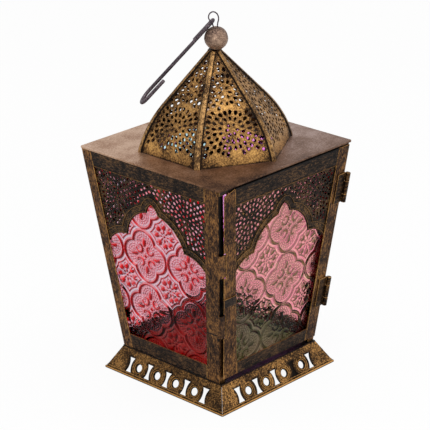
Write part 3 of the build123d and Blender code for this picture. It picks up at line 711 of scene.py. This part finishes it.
# Arch sheets: a pointed cusped arch under rosettes of small punched holes, edged with beads
arch_apex = 148.5
arch_shoulder = (6.2, 139.8)
arch_cusp = (32.5, 113.0)
arch_spring = 101.0
arch_rises = (1.2, 6.0, 3.4)
arch_border = 9.0
arch_beads = (1.1, 6.6)
top_bead = 0.9
bead_width = 1.1
bead_height = 0.55
spandrel_rosette = (40.0, 146.0)
spandrel_rings = (3.6, 4.3, 12, 4.2)
spandrel_hole = (3.6, 2.7)
spandrel_skin = 0.4
spandrel_grid = 3.0
spandrel_rim_wear = 0.75
spandrel_back_wear = 1.5
side_margin = 1.3
top_margin = 2.4
hidden_margin = 0.6
hole_gap = 0.6


def offset_line(line, distance):
    """A line moved to its left, outside corners rounded and inside corners trimmed."""
    line = np.asarray(line, float)
    steps = np.diff(line, axis=0)
    headings = np.arctan2(steps[:, 1], steps[:, 0])
    moved = []
    for point, before, after in zip(line[1:-1], headings, headings[1:]):
        turn = (after - before + math.pi) % (2 * math.pi) - math.pi
        for share in np.linspace(0, 1, 1 + max(1, int(abs(turn) / 0.2))):
            heading = before + share * turn + math.pi / 2
            moved.append(point + distance * np.array((math.cos(heading), math.sin(heading))))
    moved = np.array(moved)
    gaps = np.linalg.norm(moved[:, None] - line[None], axis=2).min(axis=1)
    moved = moved[gaps > 0.985 * distance]
    spaced = [moved[0]]
    for point in moved[1:]:
        if np.hypot(*(point - spaced[-1])) > 0.3:
            spaced.append(point)
    return np.array(spaced)


def arch_sheet(side, name, body, insets, edges, low, high, low_edge, top_edge):
    """One pierced arch sheet. Insets place it behind the frame, edges are those of the frame's opening."""
    middle = (edges[0] - edges[1]) / 2
    edge_mean = (edges[0] + edges[1]) / 2
    spring_half = half_width(arch_spring) - edge_mean
    low_half = half_width(low_edge) - edge_mean + hidden_margin
    right = [(0.0, arch_apex)]
    right += arc(right[-1], arch_shoulder, arch_rises[0])
    right += arc(right[-1], arch_cusp, arch_rises[1], 24)
    right += arc(right[-1], (spring_half, arch_spring), arch_rises[2])
    curve = np.array([(-x, y) for x, y in reversed(right[1:])] + right) + (middle, 0.0)
    feet = [
        (middle + spring_half + hidden_margin, arch_spring),
        (middle + low_half, low_edge),
        (middle - low_half, low_edge),
        (middle - spring_half - hidden_margin, arch_spring),
    ]
    opening = [*map(tuple, curve), *feet]
    outline = [
        (-half_width(low) + insets[0], low),
        (half_width(low) - insets[1], low),
        (half_width(high) - insets[1], high),
        (-half_width(high) + insets[0], high),
    ]

    def fits(x, y):
        if not arch_spring < y < top_edge - top_margin or inside(opening, (x, y))[0]:
            return False
        gap = np.hypot(*(curve - (x, y)).T).min()
        return abs(x - middle) < half_width(y) - edge_mean - side_margin and gap > arch_border

    middles = [(middle + end * spandrel_rosette[0], spandrel_rosette[1]) for end in (-1, 1)]
    spots = rosettes(middles, *spandrel_rings, spandrel_hole[0] + hole_gap, fits)
    holes = [petal(*spot, spandrel_hole) for spot in spots]

    def place(x, y, depth):
        return on_side(side, x, y, frame_sheet + depth)

    wears = (spandrel_rim_wear, spandrel_back_wear)
    shapes = [pierced(outline, [opening, *holes], spandrel_grid, place, spandrel_skin, *wears)]
    for distance in arch_beads:
        line = offset_line(curve, distance)
        reach = half_width(line[:, 1]) - edge_mean
        line = line[np.abs(line[:, 0] - middle) < reach]
        shapes.append(ridge(line, place, bead_width, bead_height))
    top_reach = half_width(top_edge) - edge_mean
    top_line = [(middle + top_reach * share, top_edge - top_bead) for share in np.linspace(-1, 1, 30)]
    shapes.append(ridge(top_line, place, bead_width, bead_height))
    points, faces, wear = joined(*shapes)
    make_piece(f"{name}_pierced", points, faces, body, arch_brass, "antique_brass", (name,), wear=wear)

front_post_leg = 16.5
back_post_leg = 10.5
pane_insets = (7.0, 7.0)
rail_height = 13.5
pane_low = 1.5
pane_high = face_length - 1.5
post_edges = {
    RIGHT: (front_post_leg, back_post_leg),
    BACK: (back_post_leg, back_post_leg),
    LEFT: (back_post_leg, front_post_leg),
}
for side, edges in post_edges.items():
    heights = (pane_low, pane_high, rail_height - hidden_margin, face_length - rail_height)
    arch_sheet(side, f"fretwork_{side_names[side]}", "lantern", pane_insets, edges, *heights)
door_edges = (18.3, 13.5)
door_insets = (12.6, 8.5)
door_pane_heights = (7.5, face_length - 5.7)
door_rail_heights = (15.0 - hidden_margin, face_length - 17.0)
arch_sheet(FRONT, "door_fretwork", "door", door_insets, door_edges, *door_pane_heights, *door_rail_heights)

# Panes: pressed relief of quatrefoil medallions with flowers between them
glass_depth = frame_sheet + fretwork_sheet
glass_grid = 0.55
column_stretch = 1.15
relief_height = 1.5

# A medallion's rim, the thin line round it, the dots where rims meet and the stippled ground inside
lobe_centre = 11.5
lobe_radius = 12.5
rim_half = 2.2
outline_gap = 4.3
outline_half = 0.9
joint_half = 2.0
ground_start = 2.0
ground_soft = 0.5
ground_dense = 0.8
stipple_row = 2.0
stipple_grains = 44
stipple_height = 0.42
stipple_pale = 0.78

# Painted highlight on both sides of the rim and painted shadow just inside its crest, at distances from it
edge_lights = (-2.9, 2.5)
edge_light_half = 0.8
edge_light = 0.7
edge_shadow = -1.0
edge_shadow_half = 1.1

# Leaves are given by middle, half length and half width, along a line from the centre of their form
almond_leaf = (12.8, 4.4, 2.4)
curl_place = 9.0
curl_radius = 3.6
curl_half = 3.4
curl_taper = 0.17
curl_end = 11.4
boss_half = 4.4
flower_petals = 8
petal_leaf = (8.9, 3.4, 3.1)
notch_leaf = (12.0, 1.9, 0.9)
notch_edge = 0.1
stem_leaf = (4.0, 2.0, 1.0)
stem_share = 0.8
heart_half = 1.9

# Painted highlight and shade from the slopes, and the dense upper part of the two panes behind
slope_step = 0.35
slope_limits = (-0.95, 0.9)
edge_contrast = 1.1
line_cover = 0.8
dense_top = 0.9
dense_from = 128.0
dense_reach = 15.0


def bell(distance, half):
    """1 on a line and 0 at half a width from it, rounded like a pressed bead."""
    share = np.clip(1 - np.abs(distance) / half, 0, 1)
    return share * share * (3 - 2 * share)


def leaf(along, across, middle, half_length, half_wide):
    """A rounded leaf-shaped boss."""
    return np.sqrt(np.clip(1 - ((along - middle) / half_length) ** 2 - (across / half_wide) ** 2, 0, 1))


def pressed(across, climb, origin, pitch, turn, weight):
    """Height of the pressed pattern, 0 to 1, how much of it is line, and the painted highlight and shadow of
    its edges.
    """
    c, s = math.cos(math.radians(turn)), math.sin(math.radians(turn))
    x = (across - origin[0]) * c + (climb - origin[1]) * s
    y = (climb - origin[1]) * c - (across - origin[0]) * s
    mx = np.abs((x + pitch / 2) % pitch - pitch / 2)
    my = np.abs((y + pitch / 2) % pitch - pitch / 2)
    fx = x % pitch - pitch / 2
    fy = y % pitch - pitch / 2

    rim = np.minimum(np.hypot(mx - lobe_centre, my), np.hypot(mx, my - lobe_centre)) - lobe_radius
    thick = bell(rim, rim_half)
    thin = bell(rim - outline_gap, outline_half)
    joint = bell(np.minimum(np.hypot(mx - pitch / 2, my), np.hypot(mx, my - pitch / 2)), joint_half)
    rows = 0.5 + 0.5 * np.cos(2 * math.pi * rim / stipple_row)
    grains = 0.5 + 0.5 * np.cos(stipple_grains * np.arctan2(my, mx))
    ground = np.clip((-rim - ground_start) / ground_soft, 0, 1)
    stipple = rows * grains * ground
    # Painted highlight beside the rim and painted shadow inside its crest
    lights = np.minimum(*(np.abs(rim - light) for light in edge_lights))
    edge = edge_light * bell(lights, edge_light_half) - bell(rim - edge_shadow, edge_shadow_half)

    almond = leaf(np.maximum(mx, my), np.minimum(mx, my), *almond_leaf)
    diagonal = (mx + my) / math.sqrt(2)
    aside = np.abs(mx - my) / math.sqrt(2)
    curl = bell(np.hypot(diagonal - curl_place, aside) - curl_radius, curl_half - curl_taper * diagonal)
    curl = curl * (diagonal < curl_end)
    boss = bell(mx + my, boss_half)

    radius = np.hypot(fx, fy)
    half_petal = math.pi / flower_petals
    fold = (np.arctan2(fy, fx) + half_petal) % (2 * half_petal) - half_petal
    along, aslant = radius * np.cos(fold), radius * np.sin(fold)
    petals = leaf(along, aslant, *petal_leaf) * (leaf(along, aslant, *notch_leaf) < notch_edge)
    stems = leaf(along, aslant, *stem_leaf)
    flower = np.maximum.reduce((petals, stem_share * stems, bell(radius, heart_half)))

    # Each form with its share of the line's colour and its share of the relief
    forms = (
        (thick, 1.0, 1.0),
        (thin, 0.75, 0.5),
        (joint, 1.0, 0.6),
        (almond, 1.0, 0.8),
        (curl, 0.9, 0.6),
        (boss, 1.0, 0.6),
        (flower, 1.0, 0.75),
    )
    line = np.maximum.reduce([share * form for form, share, _ in forms])
    height = np.maximum.reduce([share * form for form, _, share in forms])
    height = np.maximum(height, stipple_height * stipple)
    line = np.maximum(np.clip(weight * line, 0, 1), ground * (ground_dense - stipple_pale * stipple))
    return height, line, edge


def pane(side, name, body, material, slot, insets, low, high, pattern, contrast):
    """A pane with its relief towards the outside and a flat back.

    pattern is the place of a medallion, their pitch, their turn in degrees and the weight of their lines;
    contrast is how strongly the relief's slopes are painted light and dark.
    """
    rows = int((high - low) / glass_grid)
    columns = int((2 * half_width(high) - sum(insets)) / (column_stretch * glass_grid))
    levels, shares = np.linspace(low, high, rows + 1), np.linspace(0, 1, columns + 1)
    climb, share = np.meshgrid(levels, shares, indexing="ij")
    left = -half_width(climb) + insets[0]
    across = left + share * (half_width(climb) - insets[1] - left)
    height, line, edge = pressed(across, climb, *pattern)
    ahead = pressed(across + slope_step, climb - slope_step, *pattern)[0]
    behind = pressed(across - slope_step, climb + slope_step, *pattern)[0]
    if side in (RIGHT, BACK):
        line = np.maximum(line, dense_top * np.clip((climb - dense_from) / dense_reach, 0, 1))
    # Painted highlight and shade, as the slope attribute: the relief's rise along the diagonal and the rim's
    # edges
    slope = np.clip(contrast * (ahead - behind) + edge_contrast * edge, *slope_limits)
    slope = np.where(slope > 0, slope * (1 - line_cover * line), slope)
    front = on_side(side, across, climb, glass_depth + relief_height * (1 - height))
    index = np.arange(climb.size).reshape(climb.shape)
    border = np.concatenate((index[0, :-1], index[:-1, -1], index[-1, :0:-1], index[:0:-1, 0]))
    back = on_side(side, across.ravel()[border], climb.ravel()[border], glass_depth + glass_sheet)
    count = len(border)
    ring = climb.size + np.arange(count)
    walls = np.column_stack((border, ring, np.roll(ring, -1), np.roll(border, -1)))
    faces = [*grid_faces(rows + 1, columns + 1), *walls.tolist(), ring[::-1].tolist()]
    points = np.vstack((front, back))
    flat = np.zeros(count)
    tint_and_painted_light = {"line": np.concatenate((line.ravel(), flat)), "slope": np.concatenate((slope.ravel(), flat))}
    make_piece(f"{name}_pressed", points, faces, body, material, slot, (name,), sharp=60.0, **tint_and_painted_light)


for side, material, slot, pattern, contrast in (
    (LEFT, red_glass, "glass_red", ((31.1, 95.8), 50.8, -0.6, 3.4), 4.5),
    (BACK, cyan_glass, "glass_turquoise", ((0.0, 90.0), 50.8, 0.8, 2.4), 1.1),
    (RIGHT, magenta_glass, "glass_magenta", ((12.0, 80.0), 50.8, -1.0, 2.4), 1.1),
):
    name = f"pane_{side_names[side]}"
    pane(side, name, "lantern", material, slot, pane_insets, pane_low, pane_high, pattern, contrast)
pattern = ((13.5, 74.8), 49.6, 0.6, 2.4)
pane(FRONT, "door_pane", "door", green_glass, "glass_green", door_insets, *door_pane_heights, pattern, 6.0)

# Dome: six pierced gores, straight above and rounder towards the foot
half_gore = math.pi / dome_sides
foot_apothem = dome_foot_corner * math.cos(half_gore)
top_apothem = dome_top_corner * math.cos(half_gore)
upper_slope = math.atan2(dome_top - dome_bend[1], dome_bend[0] - top_apothem)
lower_slope = math.atan2(dome_bend[1] - dome_floor, foot_apothem - dome_bend[0])
bend_turn = 2 * (lower_slope - upper_slope)
bend_chord = math.hypot(dome_bend[1] - dome_floor, foot_apothem - dome_bend[0])
bend_radius = bend_chord / (2 * math.sin(bend_turn / 2))
bend_length = bend_radius * bend_turn
foot_slope = upper_slope + bend_turn
gore_length = bend_length + math.hypot(dome_top - dome_bend[1], dome_bend[0] - top_apothem)
dome_rosettes = ((0.0, 29.0), (0.0, 61.0))
dome_rings = (4.3, 5.3, 7, 4.4)
dome_hole = (4.6, 3.2)
dome_grid = 2.6
dome_rim_wear = 0.7
dome_plain_foot = 9.5
dome_plain_top = 6.0
rib_clearance = 0.4

# Wear of a gore: beside its ribs, gained towards its middle, and lost at its top and foot
rib_side_wear = 0.25
middle_gain = 0.85
middle_power = 0.6
patina_reach = 6.0
top_loss = 0.3
foot_loss = 0.45


def gore_line(climb):
    """Apothem, height and slope of a gore's middle line at a distance up from its foot."""
    climb = np.asarray(climb, float)
    bent = np.minimum(climb, bend_length)
    slope = foot_slope - bent / bend_radius
    straight = climb - bent
    apothem = foot_apothem - bend_radius * (math.sin(foot_slope) - np.sin(slope)) - straight * np.cos(slope)
    height = dome_floor + bend_radius * (np.cos(slope) - math.cos(foot_slope)) + straight * np.sin(slope)
    return apothem, height, slope


def on_gore(degrees, across, climb, depth):
    """Points of a gore at a heading, depth inwards."""
    across, climb, depth = np.broadcast_arrays(across, climb, depth)
    apothem, height, slope = gore_line(climb)
    reach = apothem - depth * np.sin(slope)
    rise = np.maximum(height - depth * np.cos(slope), dome_floor)
    local = np.column_stack((reach, across * reach / apothem, rise))
    return turned(local, degrees)


def half_gore_width(climb):
    """Half the width of a gore at a distance up from its foot."""
    return gore_line(climb)[0] * math.tan(half_gore)


def rib_half(climb):
    """Half the width of a rib at a distance up the gore."""
    share = climb / gore_length
    return (rib_widths[0] + share * (rib_widths[1] - rib_widths[0])) / 2


def gore_fits(x, y):
    """Whether a hole fits between the ribs and between the plain foot and top of a gore."""
    if not dome_plain_foot < y < gore_length - dome_plain_top:
        return False
    return abs(x) < half_gore_width(y) - max(rib_half(y), dome_hole[0] / 2) - rib_clearance


def gore_wear(x, y):
    """Wear of a gore: bright in its middle, dark beside the ribs, at the foot and towards the top."""
    beside = np.clip((half_gore_width(y) - rib_half(y) - np.abs(x)) / patina_reach, 0, 1)
    foot = np.clip(1 - y / dome_plain_foot, 0, 1)
    loss = top_loss * (y / gore_length) ** 3 + foot_loss * foot
    return rib_side_wear + middle_gain * beside**middle_power - loss


seam = 0.1
gore_climbs = np.linspace(0, gore_length, 40)
gore_edge = np.column_stack((half_gore_width(gore_climbs) - seam, gore_climbs))
gore_outline = np.vstack((gore_edge, gore_edge[::-1] * (-1, 1)))
rib_climbs = np.linspace(0, gore_length, 36)
rib_section = ((1.0, 0.0), (0.97, 0.6), (0.8, 0.65), (0.72, 1.0), (0.3, 0.95), (0.0, 0.75))
rib_groove = 0.78
rib_wear = 1.1
for number in range(dome_sides):
    heading = 360 / dome_sides * number
    next_heading = heading + 360 / dome_sides
    spots = rosettes(dome_rosettes, *dome_rings, dome_hole[0] + hole_gap, gore_fits)
    holes = [petal(*spot, dome_hole) for spot in spots]

    def gore_place(x, y, depth, heading=heading):
        return on_gore(heading, x, y, depth)

    points, faces, wear = pierced(
        gore_outline, holes, dome_grid, gore_place, dome_skin, dome_rim_wear, worn=gore_wear
    )
    name = f"dome_panel_{number + 1}"
    make_piece(f"{name}_pierced", points, faces, "lantern", dome_brass, "antique_brass", (name,), wear=wear)

    # The rib over the seam on this gore's far side, mirrored in its middle line
    count = len(rib_climbs)
    rows = []
    wear = []
    for gore_heading, end, section in ((heading, 1, rib_section), (next_heading, -1, rib_section[-2::-1])):
        for share, lift in section:
            across = end * (half_gore_width(rib_climbs) - share * rib_half(rib_climbs))
            rows.append(on_gore(gore_heading, across, rib_climbs, -lift))
            wear += [0.0 if share > rib_groove else rib_wear] * count
    points = np.vstack(rows)
    points[::count, 2] = dome_floor
    faces = grid_faces(len(rows), count, wrap_rows=True, flip=True)
    faces.append(tuple(row * count for row in reversed(range(len(rows)))))
    faces.append(tuple(row * count + count - 1 for row in range(len(rows))))
    name = f"dome_rib_{number + 1}"
    make_piece(f"{name}_strip", points, faces, "lantern", rib_brass, "antique_brass", (name,), wear=wear)

# Foot: aprons pierced with balusters and roundels, beaded round the holes and along the hem
apron_run = skirt_half - skirt_top_half
apron_length = math.hypot(apron_run, skirt_height)
apron_grid = 2.5
apron_rim_wear = 0.3
baluster_places = (-44.0, -22.0, 0.0, 22.0, 44.0)
roundel_places = (-33.0, -11.0, 11.0, 33.0)
pierced_height = 10.2
baluster = (7.0, 3.4, 12.6)
roundel_radius = 3.35
roundel_ring = 4.5
roundel_bead = (0.9, 0.45)
bracket_ring = 6.3
bracket_bead = (0.8, 0.4)
bracket_reach = 62
hem_beads = ((1.2, 2.2, 0.7), (3.3, 0.9, 0.4))
flange_reach = 8.0
flange_wear = 0.6
uncut_baluster = 22.0
uncut_depth = 0.4


def baluster_loop(x):
    """A waisted hole with straight head and foot."""
    width, waist, height = baluster
    foot, head = pierced_height - height / 2, pierced_height + height / 2
    left, right = x - width / 2, x + width / 2
    hollow = (width - waist) / 2
    right_side = arc((right, foot), (right, head), hollow, 10)
    left_side = arc((left, head), (left, foot), hollow, 10)
    return [*right_side, (left, head), *left_side, (right, foot)]


def roundel_line(x, radius):
    """A closed line round a roundel's middle."""
    return round_line(x, pierced_height, radius, 0, 360, 28, endpoint=False)


for side, side_name in enumerate(side_names):

    def apron_place(x, y, depth, side=side):
        reach = skirt_half - y * apron_run / apron_length
        inner = reach - depth * skirt_height / apron_length
        rise = np.maximum(y * skirt_height / apron_length - depth * apron_run / apron_length, 0.0)
        return turned(np.column_stack((x * inner / reach, -inner, rise)), 90 * side)

    outline = [
        (-skirt_half + seam, 0.0),
        (skirt_half - seam, 0.0),
        (skirt_top_half - seam, apron_length),
        (-skirt_top_half + seam, apron_length),
    ]
    holes = [baluster_loop(x) for x in baluster_places]
    holes += [roundel_line(x, roundel_radius) for x in roundel_places]
    shapes = [pierced(outline, holes, apron_grid, apron_place, skirt_sheet, apron_rim_wear)]
    for x in roundel_places:
        shapes.append(ridge(roundel_line(x, roundel_ring), apron_place, *roundel_bead, closed=True))
        for facing in (0, 180):
            ends = (facing - bracket_reach, facing + bracket_reach)
            bracket = round_line(x, pierced_height, bracket_ring, *ends, 16)
            shapes.append(ridge(bracket, apron_place, *bracket_bead))
    for climb, width, height in hem_beads:
        reach = skirt_half - climb * apron_run / apron_length - seam
        line = [(reach * share, climb) for share in np.linspace(-1, 1, 40)]
        shapes.append(ridge(line, apron_place, width, height))
    flange_half = skirt_top_half - flange_reach
    flange = np.array(
        [
            (end * half, -half, level)
            for level in (skirt_height, skirt_height - skirt_sheet)
            for end, half in ((-1, skirt_top_half), (1, skirt_top_half), (1, flange_half), (-1, flange_half))
        ]
    )
    flange_faces = [(0, 1, 2, 3), (7, 6, 5, 4), (0, 4, 5, 1), (1, 5, 6, 2), (2, 6, 7, 3), (3, 7, 4, 0)]
    shapes.append((turned(flange, 90 * side), flange_faces, flange_wear))
    if side == FRONT:
        slug = np.array(baluster_loop(uncut_baluster))
        count = len(slug)
        slug_points = np.vstack((apron_place(*slug.T, uncut_depth), apron_place(*slug.T, skirt_sheet)))
        slug_faces = [tuple(range(count)), tuple(range(2 * count - 1, count - 1, -1))]
        shapes.append((slug_points, slug_faces, 0.0))
    points, faces, wear = joined(*shapes)
    name = f"skirt_{side_name}"
    make_piece(f"{name}_pierced", points, faces, "lantern", skirt_brass, "antique_brass", (name,), wear=wear)

# Finial: a hand-beaten ball with a raised seam, the thin wire eye and the hook that hangs in it
eye_turn = math.radians(-46.0)
finial_shift = 1.4
ball_radius = 9.8
ball_foot = 284.2
ball_foot_radius = 3.0
ball_top_latitude = math.radians(84)
dent_count = 26
dent_depth = 0.14
dent_edge = 0.96
ball_seam_height = 0.12
ball_seam_half = 0.05
ball_middle = ball_foot + math.sqrt(ball_radius**2 - ball_foot_radius**2)
ball_top = ball_middle + ball_radius
eye_across = np.array((math.cos(eye_turn), math.sin(eye_turn), 0.0))
finial_middle = finial_shift * eye_across
up = np.array((0.0, 0.0, 1.0))
latitudes = np.linspace(math.asin((ball_foot - ball_middle) / ball_radius), ball_top_latitude, 30)
longitudes = np.linspace(0, 2 * math.pi, 48, endpoint=False)
dents = chance.normal(size=(dent_count, 3))
dents /= np.linalg.norm(dents, axis=1)[:, None]
rings = []
for latitude in latitudes:
    ring = np.column_stack(
        (
            math.cos(latitude) * np.cos(longitudes),
            math.cos(latitude) * np.sin(longitudes),
            np.full(len(longitudes), math.sin(latitude)),
        )
    )
    facing = (ring @ dents.T).max(axis=1)
    beaten = dent_depth * np.clip((facing - dent_edge) / (1 - dent_edge), 0, 1)
    raised = ball_seam_height * math.exp(-((latitude / ball_seam_half) ** 2))
    rings.append(ring * (ball_radius - beaten + raised)[:, None] + finial_middle + ball_middle * up)
points = np.vstack(rings)
faces = closed_rings(len(latitudes), len(longitudes))
make_piece("finial_ball_beaten", points, faces, "lantern", ball_brass, "antique_brass", ("finial_ball",))


def smooth_line(controls, count):
    """Points of a smooth curve that passes near its control points."""
    curve = bpy.data.curves.new("route", "CURVE")
    curve.dimensions = "3D"
    spline = curve.splines.new("NURBS")
    spline.points.add(len(controls) - 1)
    for point, control in zip(spline.points, controls):
        point.co = (*control, 1.0)
    spline.order_u = 3
    spline.use_endpoint_u = True
    spline.resolution_u = count
    holder = bpy.data.objects.new("route", curve)
    mesh = bpy.data.meshes.new_from_object(holder)
    line = np.array([vertex.co for vertex in mesh.vertices])
    bpy.data.objects.remove(holder)
    bpy.data.curves.remove(curve)
    bpy.data.meshes.remove(mesh)
    return line


# The eye across its own plane and up from the ball's top, its legs ending inside the dome
eye_wire = 0.55
eye_leg = 0.75
eye_end = -27.0
strand_foot = np.array((-eye_leg, 1.0))
strand_head = np.array((-6.2, 6.0))
eye_shape = (
    (-eye_leg, eye_end),
    (-eye_leg, 0.6),
    strand_head,
    (-5.6, 10.6),
    (-2.4, 12.8),
    (1.2, 11.0),
    (2.6, 6.4),
    (eye_leg, 1.2),
    (eye_leg, eye_end),
)


def on_eye(across, rise):
    """A point in the eye's plane."""
    return finial_middle + across * eye_across + (ball_top + rise) * up


points, faces = tube(smooth_line([on_eye(*place) for place in eye_shape], 10), eye_wire, 10)
make_piece("finial_eye_wire", points, faces, "lantern", wire_steel, "dark_wire", ("finial_eye",))

# The hook in its own plane, x down its shank and y to its open side, from its pivot on the eye's left strand
hook_wire = 1.5
hook_share = 0.55
hook_slope = math.radians(48.8)
hook_lean = math.radians(7.0)
hook_eye_bend = 2.2
hook_throat_bend = 9.0
hook_shank = 78.7
hook_eye_return = 22.0
hook_throat_return = 21.0
hook_pivot = on_eye(*(strand_foot + hook_share * (strand_head - strand_foot)))
hook_axis = -math.sin(hook_slope) * eye_across + math.cos(hook_slope) * up
down_slope = -math.cos(hook_slope) * eye_across - math.sin(hook_slope) * up
hook_down = np.array(Matrix.Rotation(-hook_lean, 3, Vector(hook_axis)) @ Vector(down_slope))
hook_side = np.cross(hook_axis, hook_down)
throat = hook_eye_bend + hook_throat_bend
throat_end = throat + hook_throat_bend
hook_flat = [(hook_eye_return * (1 - share), -hook_eye_bend) for share in np.linspace(0, 0.95, 12)]
hook_flat += round_line(0.0, 0.0, hook_eye_bend, -90, -270, 17)
hook_flat += [(hook_shank * share, hook_eye_bend) for share in np.linspace(0.03, 0.98, 30)]
hook_flat += round_line(hook_shank, throat, hook_throat_bend, -90, 90, 33)
hook_flat += [(hook_shank - hook_throat_return * share, throat_end) for share in np.linspace(0.05, 1, 12)]
hook_line = [hook_pivot + x * hook_down + y * hook_side for x, y in hook_flat]
points, faces = tube(hook_line, hook_wire, 14)
make_piece("hanging_hook_wire", points, faces, "hook", wire_steel, "dark_wire", ("hanging_hook",))

# Studio: a white floor, a white surround and soft lamps
white = (1.0, 1.0, 1.0, 1.0)
floor_reach = 8.0
floor_grey = (0.95, 0.95, 0.95, 1.0)
floor_glow = 0.93
surround_light = 0.55


def seen_rays(add):
    """1 for rays that show a surface, also mirrored or through glass, and 0 for those that only light it."""
    paths = add("ShaderNodeLightPath")
    seen = maths(add, "MAXIMUM", paths.outputs["Is Camera Ray"], paths.outputs["Is Glossy Ray"])
    return maths(add, "MAXIMUM", seen, paths.outputs["Is Transmission Ray"])


floor_mesh = bpy.data.meshes.new("studio_floor")
floor_corners = [(x * floor_reach, y * floor_reach, 0) for x, y in ((-1, -1), (1, -1), (1, 1), (-1, 1))]
floor_mesh.from_pydata(floor_corners, [], [(0, 1, 2, 3)])
new_object("studio_floor", floor_mesh)
floor_white, add = new_material("floor_white")
matte = add("ShaderNodeBsdfDiffuse", {"Color": floor_grey})
glow = add("ShaderNodeEmission", {"Color": white, "Strength": 1.0})
glowing = maths(add, "MULTIPLY", seen_rays(add), floor_glow)
blend = add("ShaderNodeMixShader", {0: glowing, 1: matte.outputs[0], 2: glow.outputs[0]})
add("ShaderNodeOutputMaterial", {"Surface": blend.outputs[0]})
floor_mesh.materials.append(floor_white)

world = bpy.data.worlds.new("studio")
bpy.context.scene.world = world
world.use_nodes = True
add = node_adder(world.node_tree)
shown = add("ShaderNodeBackground", {"Color": white, "Strength": 1.0})
lighting = add("ShaderNodeBackground", {"Color": white, "Strength": surround_light})
mixed = add("ShaderNodeMixShader", {0: seen_rays(add), 1: lighting.outputs[0], 2: shown.outputs[0]})
add("ShaderNodeOutputWorld", {"Surface": mixed.outputs[0]})

lamp_target = Vector((0.0, 0.0, 0.15))
for name, place, size, power in (
    ("overhead", (-0.2, -0.3, 2.2), 1.6, 16.0),
    ("front_left", (-1.6, -1.5, 1.2), 1.2, 14.0),
    ("front_right", (1.5, -1.7, 0.9), 1.2, 6.0),
):
    lamp = bpy.data.lights.new(name, "AREA")
    lamp.size = size
    lamp.energy = power
    holder = new_object(name, lamp)
    holder.location = place
    holder.rotation_euler = (lamp_target - Vector(place)).to_track_quat("-Z", "Y").to_euler()

# Camera at the photograph's angle
image_size = 430
heading = math.radians(-45.943)
elevation = math.radians(21.63)
roll = math.radians(-0.922)
camera_distance = 1.679
focal_pixels = 1998.8
image_middle = (217.27, 213.64)
target_height = 0.1402
back = Vector((math.sin(heading), -math.cos(heading), 0.0)) * math.cos(elevation)
back.z = math.sin(elevation)
level = Vector((math.cos(heading), math.sin(heading), 0.0))
upright = back.cross(level)
camera_right = math.cos(roll) * level + math.sin(roll) * upright
camera_up = -math.sin(roll) * level + math.cos(roll) * upright
camera_data = bpy.data.cameras.new("camera")
camera_data.sensor_width = 36.0
camera_data.lens = camera_data.sensor_width * focal_pixels / image_size
camera_data.shift_x = (image_size / 2 - image_middle[0]) / image_size
camera_data.shift_y = (image_middle[1] - image_size / 2) / image_size
camera = new_object("camera", camera_data)
camera_place = back * camera_distance + Vector((0, 0, target_height))
turn = Matrix((camera_right, camera_up, back)).transposed()
camera.matrix_world = Matrix.Translation(camera_place) @ turn.to_4x4()
bpy.context.scene.camera = camera
bpy.context.scene.view_settings.view_transform = "Standard"
